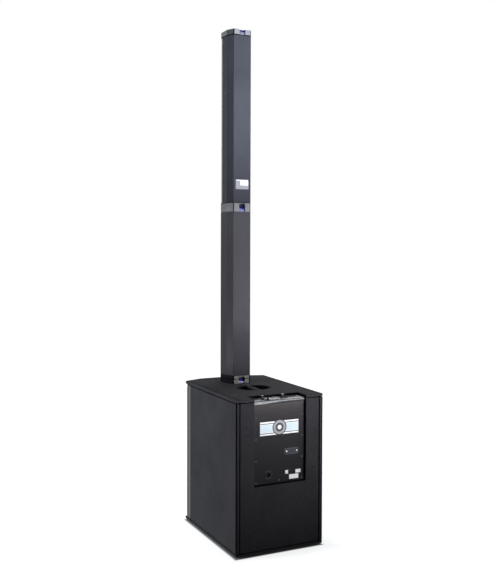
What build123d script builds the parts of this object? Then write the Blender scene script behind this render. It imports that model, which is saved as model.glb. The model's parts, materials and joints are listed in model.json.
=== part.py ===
from build123d import *
import math
import os

# Column PA system: a subwoofer cabinet with a mixer deck and an amplifier plate in its
# rear, and a slim column in two pieces, a plain spacer and a satellite speaker, that
# plug into each other and into a coupling base on the cabinet's top.
# Millimetres. +Z is up, the loudspeakers face -Y, and the controls face +Y and up.
# The origin is at the bottom centre of the whole object's bounding box.

# ---- driving dimensions: cabinet ----
cabinet_width = 400.0
cabinet_top = 635.0
panel_thickness = 15.0
lid_side_depth = 538.0
lid_bow_depth = 33.0
lid_bow_half_width = 115.0
lid_bow_radius = 57.5
lid_corner_radius = 8.0
panel_corner_radius = 5.0
panel_edge_radius = 5.0
edge_break = 1.5
seam_width = 3.6
seam_depth = 5.0
rear_inset = 1.0
foot_height = 6.0
foot_radius = 18.0
foot_draft = 1.8
foot_recess_radius = 5.4
foot_recess_depth = 2.5
foot_inset = 34.0
brace_gap = 42.0
brace_rail = 30.0
brace_window_radius = 25.0

# ---- driving dimensions: amplifier plate, deck and their housing ----
module_half_width = 116.5
module_bottom = 283.0
opening_radius = 5.0
plate_recess = 12.0
plate_thickness = 3.0
deck_drop = 12.0
deck_depth = 72.0
deck_lip_height = 15.0
deck_bend_radius = 2.8
housing_wall = 9.0
housing_ledge = 12.0
housing_depth = 118.0
module_clearance = 0.4
plate_screw_count = 4
plate_screw_low_margin = 9.0
plate_screw_high_margin = 65.0
plate_screw_inset = 10.5

# ---- driving dimensions: handle ----
handle_length = 140.0
handle_width = 116.0
handle_depth = 48.0
handle_wall = 3.0
handle_rim = 6.0
handle_bar_width = 19.0
handle_bar_height = 17.0
handle_bar_radius = 5.0
handle_from_rear = 243.0

# ---- driving dimensions: column ----
column_depth = 102.0
column_rear_half = 41.5
column_side_half = 59.0
column_facet_depth = 39.0
column_corner_radius = 5.0
column_inner_radius = 1.5
spacer_length = 769.0
satellite_length = 777.6
base_height = 20.0
top_cap_height = 27.0
bottom_cap_height = 16.0
tube_wall = 3.0
tube_fit = 0.2
cap_tongue = 10.0
cap_tongue_wall = 3.0
cap_edge_radius = 1.5
cap_seam_height = 2.0
cap_seam_depth = 1.5

# ---- driving dimensions: plug, socket and lock ----
plug_width = 60.0
plug_thickness = 34.0
plug_length = 40.0
plug_corner_radius = 3.6
plug_clearance = 0.4
plug_from_rear = 34.0
plug_root_height = 9.6
plug_flange = 5.0
plug_taper = 3.0
plug_taper_side = 1.5
plug_tab_slope = 3.0
groove_margin = 1.0
socket_wall = 3.0
socket_gap = 14.1
window_width = 29.0
base_window_height = 18.0
cap_window_height = 24.0
upper_window_height = 9.5
lock_setback = 10.0
lock_travel = 5.0
lock_clearance = 0.4
lock_side_clearance = 1.0
lock_rail = 2.5
lock_pad_reach = 5.0
lock_pad_draft = 1.0
contact_count = 4
contact_radius = 2.0
contact_length = 7.0
contact_pitch = 12.0
contact_clearance = 0.6

# ---- driving dimensions: woofer ----
woofer_from_top = 190.0
woofer_flange = 6.0
woofer_frame_radius = 137.2
woofer_rim = 17.8
woofer_cone_radius = 108.5
woofer_cone_wall = 2.0
woofer_cone_depth = 46.0
woofer_travel = 6.0
surround_wall = 1.2
surround_seat = 3.0
basket_depth = 96.0
basket_sheet = 4.0
basket_seat_radius = 62.0
basket_window_count = 6
basket_window_width = 65.0
basket_window_length = 56.0
coil_radius = 38.2
coil_wall = 2.7
coil_length = 80.0
coil_gap = 1.8
top_plate_radius = 66.0
top_plate_thickness = 10.0
magnet_radius = 80.0
back_plate_thickness = 8.0
dust_cap_radius = 41.8
dust_cap_height = 12.0
spider_depth = 84.0
spider_wall = 0.8
spider_ridge = 1.6
spider_ridge_count = 3
woofer_bolt_count = 8
woofer_bolt_radius = 4.8
woofer_bolt_height = 3.2

# ---- driving dimensions: baffle and ports ----
baffle_thickness = 18.0
baffle_inset = 10.0
cutout_clearance = 1.5
port_radius = 40.0
port_wall = 3.0
port_length = 150.0
port_flare = 8.0
port_lip = 2.0
port_spacing = 220.0
port_from_bottom = 92.0

# ---- driving dimensions: satellite speaker ----
satellite_body_depth = 75.0
satellite_grille_depth = 93.5
satellite_baffle_inset = 4.0
satellite_baffle_thickness = 9.0
mid_radius = 50.0
mid_count = 6
mid_end_gap = 34.3
mid_travel = 1.5
mid_flange = 3.0
mid_frame_radius = 43.0
mid_cone_radius = 35.0
mid_cone_wall = 1.2
mid_cone_depth = 12.0
mid_dome_height = 6.0
mid_surround_wall = 0.7
mid_frame_depth = 24.0
mid_coil_radius = 10.8
mid_coil_wall = 1.6
mid_coil_length = 22.0
mid_coil_gap = 0.7
mid_magnet_radius = 30.0
mid_magnet_back = 4.0

# ---- driving dimensions: grilles and screws ----
grille_sheet = 1.5
grille_setback = 14.0
grille_wrap = 44.0
grille_side_inset = 2.0
grille_lip = 9.0
grille_corner_radius = 8.0
foam_thickness = 6.0
screw_head_radius = 4.0
screw_head_height = 1.6
screw_edge_radius = 0.8
side_screw_count = 6
side_screw_margin = 12.0
side_screw_inset = 7.5
plate_screw_radius = 3.6
satellite_screw_margin = 16.0
satellite_screw_radius = 2.6
satellite_screw_height = 1.0
satellite_screw_inset = 5.5

# ---- driving dimensions: deck controls ----
knob_setback = 22.0
combo_setback = 23.0
rear_row = 28.0
combo_from_side = 28.5
combo_spacing = 28.0
combo_to_knob_1 = 30.0
combo_to_knob_2 = 25.0
combo_to_phono = 20.0
combo_to_jack = 22.0
phono_spacing = 24.0
jack_to_button = 24.0
light_1_across = 0.0
light_2_across = 12.0
control_clearance = 0.3
knob_radius = 7.5
knob_height = 13.0
knob_gap = 0.5
knob_skirt = 2.5
knob_neck_radius = 6.4
knob_top_radius = 5.2
knob_edge = 1.2
flute_count = 8
flute_radius = 1.2
pointer_width = 1.2
shaft_radius = 3.0
shaft_fit = 0.05
shaft_length = 13.0
pot_radius = 8.0
pot_gap = 5.0
combo_radius = 12.0
combo_flange = 2.0
combo_flange_width = 26.0
combo_flange_length = 30.0
combo_corner_radius = 3.0
combo_length = 26.0
combo_floor = 5.0
combo_pin_circle = 7.4
combo_pin_radius = 1.5
combo_pin_depth = 9.0
jack_bore = 3.25
jack_radius = 5.5
jack_nut_radius = 7.5
jack_nut_height = 1.6
jack_height = 3.0
jack_length = 24.0
jack_floor = 3.0
phono_radius = 4.5
phono_height = 8.0
phono_bore = 1.6
phono_rim = 1.6
phono_tail = 4.0
light_radius = 1.6
light_height = 1.0
button_radius = 5.0
button_travel = 2.0
button_stand = 1.0
button_edge_radius = 0.8
stem_radius = 2.0
stem_length = 5.0
switch_radius = 5.0
switch_gap = 1.0
pin_clearance = 0.1

# ---- driving dimensions: boards, heat sink, transformer and inlet ----
board_thickness = 1.6
board_margin = 4.0
amp_board_rise = 16.0
choke_count = 2
choke_radius = 16.0
choke_length = 22.0
sink_width = 160.0
sink_headroom = 62.0
sink_depth = 34.0
sink_base = 6.0
fin_count = 9
fin_thickness = 2.4
transformer_across = -40.0
transformer_radius = 38.0
transformer_height = 32.0
transformer_bore = 14.0
transformer_edge = 5.0
transformer_gap = 2.0
clamp_thickness = 1.5
clamp_radius = 34.0
inlet_across = 50.0
inlet_from_bottom = 37.0
inlet_flange_width = 26.0
inlet_flange_height = 31.0
inlet_flange_thickness = 2.5
inlet_corner_radius = 2.5
inlet_bore_radius = 11.0
inlet_wall = 1.2
inlet_depth = 22.0
inlet_floor = 3.0
inlet_screw_radius = 1.5
inlet_screw_inset = 3.0
hub_radius = 3.6
hub_height = 16.0
blade_count = 3
blade_width = 2.4
blade_thickness = 1.2
blade_height = 10.0

# ---- values worked out from the driving dimensions ----
rear_y = (lid_side_depth + lid_bow_depth) / 2
front_y = -rear_y
half_width = cabinet_width / 2
inner_half_width = half_width - panel_thickness
floor_top = foot_height + panel_thickness
lid_bottom = cabinet_top - panel_thickness
rear_face_y = rear_y - rear_inset
rear_inner_y = rear_face_y - panel_thickness
side_front_y = rear_y - lid_side_depth + grille_setback + grille_wrap
plate_y = rear_y - plate_recess
plate_back_y = plate_y - plate_thickness
deck_top = cabinet_top - deck_drop
deck_bottom = deck_top - plate_thickness
notch_front_y = rear_y - deck_depth
baffle_y = side_front_y + baffle_inset
baffle_back_y = baffle_y + baffle_thickness
plug_front_y = baffle_back_y + socket_gap + socket_wall + plug_clearance
plug_centre_y = plug_front_y + plug_thickness / 2
plug_rear_y = plug_front_y + plug_thickness
column_rear_y = plug_rear_y + plug_from_rear
base_top = cabinet_top + base_height
spacer_top = base_top + spacer_length
object_top = spacer_top + satellite_length
socket_depth = plug_length + plug_clearance * 2 + contact_length
lock_width = window_width - 2 * lock_side_clearance
woofer_radius = woofer_frame_radius + woofer_rim
woofer_z = lid_bottom - woofer_from_top
coil_low = -woofer_cone_depth - coil_length
top_plate_z = -basket_depth - basket_sheet
gap_low = coil_low - 2 * woofer_travel
magnet_back_z = gap_low - back_plate_thickness
satellite_low = spacer_top + bottom_cap_height
satellite_high = object_top - top_cap_height
mid_middle = (satellite_low + satellite_high) / 2
mid_reach = (satellite_high - satellite_low) / 2 - mid_end_gap - mid_frame_radius
satellite_front_y = column_rear_y - satellite_body_depth
satellite_baffle_y = satellite_front_y + satellite_baffle_inset
board_top = deck_top - combo_length
transformer_z = module_bottom + housing_ledge + transformer_gap + transformer_radius
sink_low = transformer_z + transformer_radius + transformer_gap
sink_high = board_top - sink_headroom
front_row = deck_depth - knob_setback
combo_row = deck_depth - combo_setback
combo_1_across = module_half_width - combo_from_side
combo_2_across = combo_spacing - combo_1_across
jack_across = combo_2_across + combo_to_jack
button_across = jack_across + jack_to_button
phono_1_across = combo_1_across - combo_to_phono
phono_2_across = phono_1_across - phono_spacing
knob_spots = [(combo_1_across - combo_to_knob_1, front_row), (combo_2_across + combo_to_knob_2, front_row)]
combo_spots = [(combo_1_across, combo_row), (combo_2_across, combo_row), (-combo_1_across, combo_row)]
phono_spots = [(phono_1_across, rear_row), (phono_2_across, rear_row)]
jack_spot = (jack_across, rear_row)
button_spot = (button_across, rear_row)
light_spots = [(light_1_across, front_row), (light_2_across, front_row)]
inlet_spot = (inlet_across, module_bottom + inlet_from_bottom)

os.makedirs("parts", exist_ok=True)


# ---- helpers ----
def block(x_range, y_range, z_range):
    """A box between two limits on each axis."""
    size = [abs(high - low) for low, high in (x_range, y_range, z_range)]
    middle = [(low + high) / 2 for low, high in (x_range, y_range, z_range)]
    return Pos(*middle) * Box(*size)


def slab(outline, low, high):
    """A flat outline drawn in XY, raised from one height to another."""
    return extrude(Pos(0, 0, low) * outline, amount=high - low)


def rod(x, y, radius, low, high):
    """An upright cylinder."""
    return Pos(x, y, (low + high) / 2) * Cylinder(radius, high - low)


def turned(*profile):
    """A solid of revolution about Z from (radius, height) points."""
    return revolve(make_face(Polyline(*[(r, 0, z) for r, z in profile], close=True)), Axis.Z)


def facing_front(shape, x, y, z):
    """Moves a shape built along +Z so that it points to -Y from the given place."""
    return Pos(x, y, z) * Rot(90, 0, 0) * shape


def facing_rear(shape, x, y, z):
    """Moves a shape built along +Z so that it points to +Y from the given place."""
    return Pos(x, y, z) * Rot(-90, 0, 0) * shape


def facing_side(shape, side, x, y, z):
    """Moves a shape built along +Z so that it points to +X or -X from the given place."""
    return Pos(x, y, z) * Rot(0, 90 * side, 0) * shape


def save(node, *solids):
    """Writes one node, which can hold several separate solids."""
    shape = solids[0] if len(solids) == 1 else Compound(children=list(solids))
    export_step(shape, f"parts/{node}.step")


def mirrored(points):
    """A closed outline from its +X half, listed from the rear to the front."""
    return points + [(-x, y) for x, y in reversed(points)]


def spread(low, high, count):
    """Evenly spaced values from one limit to the other."""
    return [low + (high - low) * index / (count - 1) for index in range(count)]


def pan_head(radius, height):
    """A screw head with a rounded edge and a hex recess, along +Z."""
    edge = Cylinder(radius, height).edges().group_by(Axis.Z)[-1]
    head = fillet(edge, min(screw_edge_radius, height / 2))
    recess = extrude(RegularPolygon(radius / 2, 6), amount=height)
    return Pos(0, 0, height / 2) * (head - recess)


# ---- cabinet panels ----
def lid_plan():
    """The bowed outline of the top and bottom panels."""
    corners = mirrored([
        (half_width, rear_y),
        (half_width, rear_y - lid_side_depth),
        (lid_bow_half_width, front_y),
    ])
    outline = make_face(Polyline(*corners, close=True))
    outline = fillet(outline.vertices().group_by(Axis.Y)[-1], panel_corner_radius)
    outline = fillet(outline.vertices().group_by(Axis.Y)[0], lid_bow_radius)
    front_corners = [v for v in outline.vertices() if abs(v.Y - rear_y + lid_side_depth) < edge_break]
    return fillet(front_corners, lid_corner_radius)


def seam_slab(low, high):
    """The set-back part of a bowed panel that leaves a shadow line round it."""
    return slab(offset(lid_plan(), amount=-seam_depth), low, high)


def handle_oval(growth):
    """The oval outline of the handle cup, grown by a margin."""
    oval = Ellipse(handle_length / 2 + growth, handle_width / 2 + growth)
    return Pos(0, rear_y - handle_from_rear) * oval


def base_well_outline(growth):
    """The outline of a socket well, grown by a margin."""
    return plug_outline(plug_clearance + socket_wall + growth)


def make_top_panel():
    panel = slab(lid_plan(), lid_bottom + seam_width, cabinet_top)
    panel = fillet(panel.edges().group_by(Axis.Z)[-1], panel_edge_radius)
    panel += seam_slab(lid_bottom, lid_bottom + seam_width)
    reach = module_half_width
    panel -= block((-reach, reach), (notch_front_y, rear_y + reach),
                   (lid_bottom - panel_thickness, cabinet_top + panel_thickness))
    panel -= slab(handle_oval(0), lid_bottom, cabinet_top)
    panel -= slab(handle_oval(handle_rim), cabinet_top - handle_wall, cabinet_top)
    panel -= slab(base_well_outline(module_clearance), lid_bottom, cabinet_top)
    notch_corners = [e for e in panel.edges().filter_by(Axis.Z)
                     if abs(abs(e.center().X) - reach) < edge_break and e.center().Y > rear_y - edge_break
                     and e.center().Z > lid_bottom + seam_width]
    return fillet(notch_corners, opening_radius)


def make_bottom_panel():
    panel = slab(lid_plan(), foot_height, floor_top - seam_width)
    panel = fillet(panel.edges().group_by(Axis.Z)[0], panel_edge_radius)
    return panel + seam_slab(floor_top - seam_width, floor_top)


def make_side_panel(side):
    panel = block((side * inner_half_width, side * half_width), (side_front_y, rear_y),
                  (floor_top, lid_bottom))
    outer_edges = panel.edges().filter_by(Axis.Z).group_by(Axis.X)[-1 if side > 0 else 0].sort_by(Axis.Y)
    panel = fillet(outer_edges[-1], panel_corner_radius)
    outer_edges = panel.edges().filter_by(Axis.Z).group_by(Axis.X)[-1 if side > 0 else 0].sort_by(Axis.Y)
    return fillet(outer_edges[0], edge_break)


def make_rear_panel():
    panel = block((-inner_half_width, inner_half_width), (rear_inner_y, rear_face_y),
                  (floor_top, lid_bottom))
    opening = block((-module_half_width, module_half_width), (rear_inner_y, rear_face_y),
                    (module_bottom, lid_bottom))
    panel -= opening
    rim = [e for e in panel.edges().group_by(Axis.Y)[-1]
           if abs(e.center().X) < module_half_width + edge_break
           and module_bottom - edge_break < e.center().Z < lid_bottom - edge_break]
    panel = fillet(rim, opening_radius)
    for side in (-1, 1):
        panel -= block((side * (inner_half_width - seam_width), side * inner_half_width),
                       (rear_face_y - seam_depth, rear_face_y), (floor_top, lid_bottom))
    return panel


def make_front_baffle():
    panel = block((-inner_half_width, inner_half_width), (baffle_y, baffle_y + baffle_thickness),
                  (floor_top, lid_bottom))
    cutout = Cylinder(woofer_frame_radius + cutout_clearance, 3 * baffle_thickness)
    panel -= facing_front(cutout, 0, baffle_y, woofer_z)
    for x in (-port_spacing / 2, port_spacing / 2):
        hole = Cylinder(port_radius + port_wall, 3 * baffle_thickness)
        panel -= facing_front(hole, x, baffle_y, floor_top + port_from_bottom)
    return panel


def make_brace():
    """A window brace that ties the sides and the floor between the woofer and the rear."""
    low_y = baffle_y - magnet_back_z + brace_gap
    top = module_bottom - housing_wall - module_clearance
    brace = block((-inner_half_width, inner_half_width), (low_y, low_y + panel_thickness), (floor_top, top))
    width = inner_half_width - brace_rail * 1.5
    height = top - floor_top - 2 * brace_rail
    window = extrude(RectangleRounded(width, height, brace_window_radius), amount=panel_thickness, both=True)
    for side in (-1, 1):
        x = side * (brace_rail + width) / 2
        brace -= Pos(x, low_y, (floor_top + top) / 2) * Rot(90, 0, 0) * window
    return brace


def make_foot():
    """A tapered rubber foot with a recess for its screw."""
    foot = turned((0, 0), (foot_radius - foot_draft, 0), (foot_radius, foot_height), (0, foot_height))
    return foot - rod(0, 0, foot_recess_radius, 0, foot_recess_depth)


def foot_places():
    x = half_width - foot_inset
    front = rear_y - lid_side_depth + foot_inset
    return [(sx * x, y) for sx in (-1, 1) for y in (front, rear_y - foot_inset)]


def make_handle():
    """An oval cup with a grip bar across it, flush with the cabinet's top."""
    top = cabinet_top
    low = top - handle_depth
    cup = slab(handle_oval(0), low, top)
    cup += slab(handle_oval(handle_rim), top - handle_wall, top)
    cup -= slab(handle_oval(-handle_wall), low + handle_wall, top)
    middle = rear_y - handle_from_rear
    reach = handle_width / 2 - handle_wall / 2
    bar = block((-handle_bar_width / 2, handle_bar_width / 2), (middle - reach, middle + reach),
                (top - handle_bar_height, top))
    return cup + fillet(bar.edges().filter_by(Axis.Y), handle_bar_radius)


# ---- amplifier housing, plate, deck and controls ----
def make_housing():
    """The box behind the rear opening that carries the plate and the deck."""
    outer = module_half_width + housing_wall
    inner = module_half_width - housing_ledge
    front = rear_inner_y - housing_depth
    low = module_bottom - housing_wall
    box = block((-outer, outer), (front, rear_inner_y), (low, lid_bottom))
    box -= block((-inner, inner), (front + housing_wall, rear_inner_y),
                 (module_bottom + housing_ledge, lid_bottom))
    box -= block((-module_half_width, module_half_width), (plate_back_y, rear_inner_y),
                 (module_bottom, lid_bottom))
    rail_low = lid_bottom - housing_ledge
    box += block((-inner, inner), (notch_front_y - housing_ledge, notch_front_y + housing_ledge / 2),
                 (rail_low, lid_bottom))
    return box


def make_plate():
    """The amplifier plate, with the hole for the power inlet."""
    reach = module_half_width - module_clearance
    plate = block((-reach, reach), (plate_back_y, plate_y),
                  (module_bottom + module_clearance, deck_bottom))
    x, z = inlet_spot
    hole = Cylinder(inlet_bore_radius + inlet_wall + control_clearance, 3 * plate_thickness)
    return plate - facing_rear(hole, x, plate_y, z)


def on_deck(spot):
    """The place of a control from its distance across and from the rear edge."""
    return spot[0], rear_y - spot[1]


def make_deck():
    """The control deck: a sheet that bends down over the plate's upper edge."""
    reach = module_half_width - module_clearance
    lip_y = plate_y + plate_thickness
    deck = block((-reach, reach), (notch_front_y + module_clearance, lip_y), (deck_bottom, deck_top))
    deck += block((-reach, reach), (plate_y, lip_y), (deck_top - deck_lip_height, deck_top))
    bend = deck.edges().filter_by(Axis.X).group_by(Axis.Z)[-1].sort_by(Axis.Y)[-1]
    deck = fillet(bend, deck_bend_radius)
    holes = [(spot, shaft_radius + control_clearance) for spot in knob_spots]
    holes += [(spot, combo_radius + control_clearance) for spot in combo_spots]
    holes += [(spot, phono_radius) for spot in phono_spots]
    holes += [(spot, light_radius) for spot in light_spots]
    holes += [(jack_spot, jack_radius), (button_spot, button_radius + control_clearance)]
    for spot, radius in holes:
        deck -= rod(*on_deck(spot), radius, deck_bottom, deck_top)
    return deck


def make_combo_socket(spot):
    """A panel socket with a round face, three contact holes and a central jack bore."""
    flange = RectangleRounded(combo_flange_width, combo_flange_length, combo_corner_radius)
    socket = slab(flange, 0, combo_flange) + rod(0, 0, combo_radius, -combo_length, combo_flange)
    socket -= rod(0, 0, jack_bore, combo_floor - combo_length, combo_flange)
    for angle in (30, 150, 270):
        pin = Rot(0, 0, angle) * Pos(combo_pin_circle, 0, 0)
        socket -= pin * rod(0, 0, combo_pin_radius, combo_flange - combo_pin_depth, combo_flange)
    for side in (-1, 1):
        x = side * (combo_flange_width / 2 - combo_corner_radius)
        y = side * (combo_flange_length / 2 - combo_corner_radius)
        socket -= rod(x, y, combo_pin_radius, combo_flange / 2, combo_flange)
    return Pos(*on_deck(spot), deck_top) * socket


def make_phono_socket(spot):
    """A phono socket: a collar on the deck round a hollow barrel."""
    low = -plate_thickness - phono_tail
    rim = phono_radius + phono_rim
    barrel = turned((phono_bore, low), (phono_radius, low), (phono_radius, 0), (rim, 0), (rim, knob_edge),
                    (phono_radius, knob_edge), (phono_radius, phono_height), (phono_bore, phono_height))
    return Pos(*on_deck(spot), deck_top) * barrel


def make_jack_socket(spot):
    """A jack socket with its hex nut on the deck."""
    nut = slab(RegularPolygon(jack_nut_radius, 6), 0, jack_nut_height)
    barrel = rod(0, 0, jack_radius, -jack_length, jack_height)
    bore = rod(0, 0, jack_bore, jack_floor - jack_length, jack_height)
    return Pos(*on_deck(spot), deck_top) * (nut + barrel - bore)


def make_knob(spot):
    """A tall control knob with a skirt, grip flutes, a pointer slot and its shaft."""
    low, high = knob_gap, knob_gap + knob_height
    skirt = low + knob_skirt
    body = turned((0, low), (knob_radius, low), (knob_radius, skirt), (knob_neck_radius, skirt + knob_edge),
                  (knob_top_radius, high - knob_edge), (knob_top_radius - knob_edge, high), (0, high))
    for index in range(flute_count):
        flute = rod(knob_neck_radius + flute_radius / 2, 0, flute_radius, skirt + knob_edge, high)
        body -= Rot(0, 0, (index + 0.5) * 360 / flute_count) * flute
    body -= block((-pointer_width / 2, pointer_width / 2), (0, knob_radius), (high - pointer_width / 2, high))
    body += rod(0, 0, shaft_radius, low - shaft_length, low)
    return Pos(*on_deck(spot), deck_top) * body


def make_button():
    """A push button whose cap stands out of the deck on a stem."""
    cap = rod(0, 0, button_radius, -plate_thickness, button_travel + button_stand)
    cap = fillet(cap.edges().group_by(Axis.Z)[-1], button_edge_radius)
    stem = rod(0, 0, stem_radius, -plate_thickness - stem_length, -plate_thickness)
    return Pos(*on_deck(button_spot), deck_top) * (cap + stem)


def make_boards():
    """The mixer board under the deck, the level controls and switch, and the amplifier board."""
    reach = module_half_width - housing_ledge - board_margin
    mixer_low = board_top - board_thickness
    mixer = block((-reach, reach), (notch_front_y + housing_ledge, plate_back_y - board_margin),
                  (mixer_low, board_top))
    amp_y = plate_back_y - sink_depth
    amp_low, amp_high = sink_low + amp_board_rise, mixer_low - 2 * board_margin
    amp = block((-reach, reach), (amp_y - board_thickness, amp_y), (amp_low, amp_high))
    parts = [mixer, amp]
    shaft_low = deck_top + knob_gap - shaft_length
    for spot in knob_spots:
        place = on_deck(spot)
        pot = rod(*place, pot_radius, board_top, shaft_low + pot_gap)
        parts.append(pot - rod(*place, shaft_radius + shaft_fit, shaft_low - switch_gap, deck_bottom))
    place = on_deck(button_spot)
    stem_low = deck_bottom - stem_length - button_travel - switch_gap
    switch = rod(*place, switch_radius, board_top, deck_bottom - button_travel - switch_gap)
    parts.append(switch - rod(*place, stem_radius + pin_clearance, stem_low, deck_bottom))
    choke = rod(0, 0, choke_radius, 0, choke_length)
    for index in range(choke_count):
        z = amp_low + (amp_high - amp_low) * (index + 1) / (choke_count + 1)
        parts.append(facing_front(choke, 0, amp_y - board_thickness, z))
    return parts


def make_heat_sink():
    """A finned extrusion on the back of the plate."""
    reach = sink_width / 2
    low, high = sink_low, sink_high
    root_y = plate_back_y - sink_base
    sink = block((-reach, reach), (root_y, plate_back_y), (low, high))
    step = (sink_width - fin_thickness) / (fin_count - 1)
    for index in range(fin_count):
        x = -reach + index * step
        sink += block((x, x + fin_thickness), (plate_back_y - sink_depth, root_y), (low, high))
    return sink


def make_transformer():
    """A ring transformer and its clamp plate on the plate's lower part."""
    bore, r, h, edge = transformer_bore, transformer_radius, transformer_height, transformer_edge
    ring = turned((bore, 0), (r - edge, 0), (r, edge), (r, h - edge), (r - edge, h), (bore, h))
    plug = rod(0, 0, bore - module_clearance, 0, h)
    clamp = plug + rod(0, 0, clamp_radius, h, h + clamp_thickness)
    place = (transformer_across, plate_back_y, transformer_z)
    return facing_front(ring, *place), facing_front(clamp, *place)


def make_inlet():
    """The round power inlet with its square flange and rear body."""
    width, height = inlet_flange_width, inlet_flange_height
    inlet = slab(RectangleRounded(width, height, inlet_corner_radius), 0, inlet_flange_thickness)
    inlet += rod(0, 0, inlet_bore_radius + inlet_wall, -inlet_depth, inlet_flange_thickness)
    inlet -= rod(0, 0, inlet_bore_radius, inlet_floor - inlet_depth, inlet_flange_thickness)
    for side in (-1, 1):
        x = side * (width / 2 - inlet_screw_inset)
        y = side * (height / 2 - inlet_screw_inset)
        inlet -= rod(x, y, inlet_screw_radius, inlet_flange_thickness / 2, inlet_flange_thickness)
    return facing_rear(inlet, inlet_spot[0], plate_y, inlet_spot[1])


def make_inlet_contacts():
    """The hub in the middle of the inlet, with its contact blades."""
    low = inlet_floor - inlet_depth
    hub = rod(0, 0, hub_radius, low, low + hub_height)
    for index in range(blade_count):
        blade = block((0, hub_radius + blade_width / 2), (-blade_thickness / 2, blade_thickness / 2),
                      (low, low + blade_height))
        hub += Rot(0, 0, 90 + 360 * index / blade_count) * blade
    return facing_rear(hub, inlet_spot[0], plate_y, inlet_spot[1])


def make_plate_screws():
    head = pan_head(plate_screw_radius, screw_head_height)
    x = module_half_width - plate_screw_inset
    low = module_bottom + plate_screw_low_margin
    heights = spread(low, deck_bottom - plate_screw_high_margin, plate_screw_count)
    places = [(side * x, z) for side in (-1, 1) for z in heights]
    places.append((0, module_bottom + plate_screw_inset))
    return [facing_rear(head, px, plate_y, pz) for px, pz in places]


# ---- woofer, ports and front grille ----
def basket_wall_radius(z):
    """The inner radius of the basket's sloped wall at a height below its flange."""
    upper_radius = woofer_frame_radius - basket_sheet - surround_seat
    share = (z + woofer_flange) / (woofer_flange - basket_depth)
    return upper_radius + (basket_seat_radius - upper_radius) * share


def make_woofer_basket():
    """A pressed frame: flange, window openings in the cone wall, and a rear plate."""
    seat = woofer_frame_radius - surround_seat
    neck = basket_wall_radius(-woofer_flange)
    hole = coil_radius + basket_sheet
    basket = turned((woofer_radius, 0), (woofer_radius, woofer_flange), (seat, woofer_flange), (seat, 0),
                    (neck, -woofer_flange), (basket_seat_radius, -basket_depth), (hole, -basket_depth),
                    (hole, top_plate_z), (basket_seat_radius + basket_sheet, top_plate_z),
                    (woofer_frame_radius, -woofer_flange), (woofer_frame_radius, 0))
    middle = (neck + basket_seat_radius) / 2
    reach = middle - basket_seat_radius
    for index in range(basket_window_count):
        window = Pos(middle, 0, -basket_depth / 2) * Box(2 * reach, basket_window_width, basket_window_length)
        basket -= Rot(0, 0, 360 * index / basket_window_count) * window
    return basket


def make_woofer_magnet():
    """Back plate, ring magnet, top plate and pole in one motor, with the voice coil gap."""
    outer, inner = coil_radius + coil_gap, coil_radius - coil_wall - coil_gap
    neck = top_plate_z - top_plate_thickness
    return turned((0, magnet_back_z), (magnet_radius, magnet_back_z), (magnet_radius, neck),
                  (top_plate_radius, neck), (top_plate_radius, top_plate_z), (outer, top_plate_z),
                  (outer, gap_low), (inner, gap_low), (inner, top_plate_z), (0, top_plate_z))


def make_woofer_cone():
    """The cone, from its flat rim to the neck glued round the voice coil."""
    rim, wall, low = woofer_cone_radius, woofer_cone_wall, -woofer_cone_depth
    inner = coil_radius - coil_wall
    return turned((rim, surround_seat), (rim, surround_seat + wall), (rim - wall, surround_seat + wall),
                  (inner, low + 2 * wall), (inner, low), (coil_radius, low), (coil_radius, low + wall))


def make_dust_cap():
    """A dome glued to the cone over the voice coil."""
    rim, top = dust_cap_radius, dust_cap_height
    start, end = coil_radius - coil_wall, woofer_cone_radius - woofer_cone_wall
    low, high = 2 * woofer_cone_wall - woofer_cone_depth, surround_seat + woofer_cone_wall
    base = low + (high - low) * (rim - start) / (end - start)
    angles = [math.radians(15 * step) for step in range(6)]
    outer = [(rim * math.cos(a), base + top * math.sin(a)) for a in angles]
    inner = [(r - surround_wall, z - surround_wall / 2) for r, z in reversed(outer[1:])]
    return turned(*outer, (0, base + top), (0, base + top - surround_wall), *inner)


def make_voice_coil():
    inner = coil_radius - coil_wall
    return turned((inner, -woofer_cone_depth), (coil_radius, -woofer_cone_depth), (coil_radius, coil_low),
                  (inner, coil_low))


def half_roll(inner, outer, base, wall, seat, steps):
    """A half-roll edge that starts beside a cone's rim and ends in a flat band of width seat."""
    middle, roll = (inner + outer - seat) / 2, (outer - inner - seat) / 2
    angles = [math.pi * step / steps for step in range(steps + 1)]
    upper = [(middle + roll * math.cos(a), base + roll * math.sin(a)) for a in angles]
    inside = roll - wall
    lower = [(middle + inside * math.cos(a), base + inside * math.sin(a)) for a in reversed(angles)]
    return turned((outer, base), (outer, base + wall), (middle + roll, base + wall), *upper[1:], *lower)


def make_woofer_surround():
    return half_roll(woofer_cone_radius + shaft_fit, woofer_frame_radius, woofer_flange, surround_wall,
                     surround_seat, 9)


def make_woofer_spider():
    """A corrugated centring disc from the voice coil to the basket's wall."""
    inner, outer = coil_radius + module_clearance, basket_wall_radius(-spider_depth)
    count = 2 * spider_ridge_count
    radii = spread(inner, outer, count + 1)
    upper = [(r, (spider_ridge if index % 2 else 0) - spider_depth) for index, r in enumerate(radii)]
    lower = [(r, z - spider_wall) for r, z in reversed(upper)]
    return turned(*upper, *lower)


def make_woofer_bolts():
    head = pan_head(woofer_bolt_radius, woofer_bolt_height)
    ring = (woofer_radius + woofer_frame_radius) / 2
    bolts = []
    for index in range(woofer_bolt_count):
        angle = 2 * math.pi * (index + 0.5) / woofer_bolt_count
        x, z = ring * math.cos(angle), woofer_z + ring * math.sin(angle)
        bolts.append(facing_front(head, x, baffle_y - woofer_flange, z))
    return bolts


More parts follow.
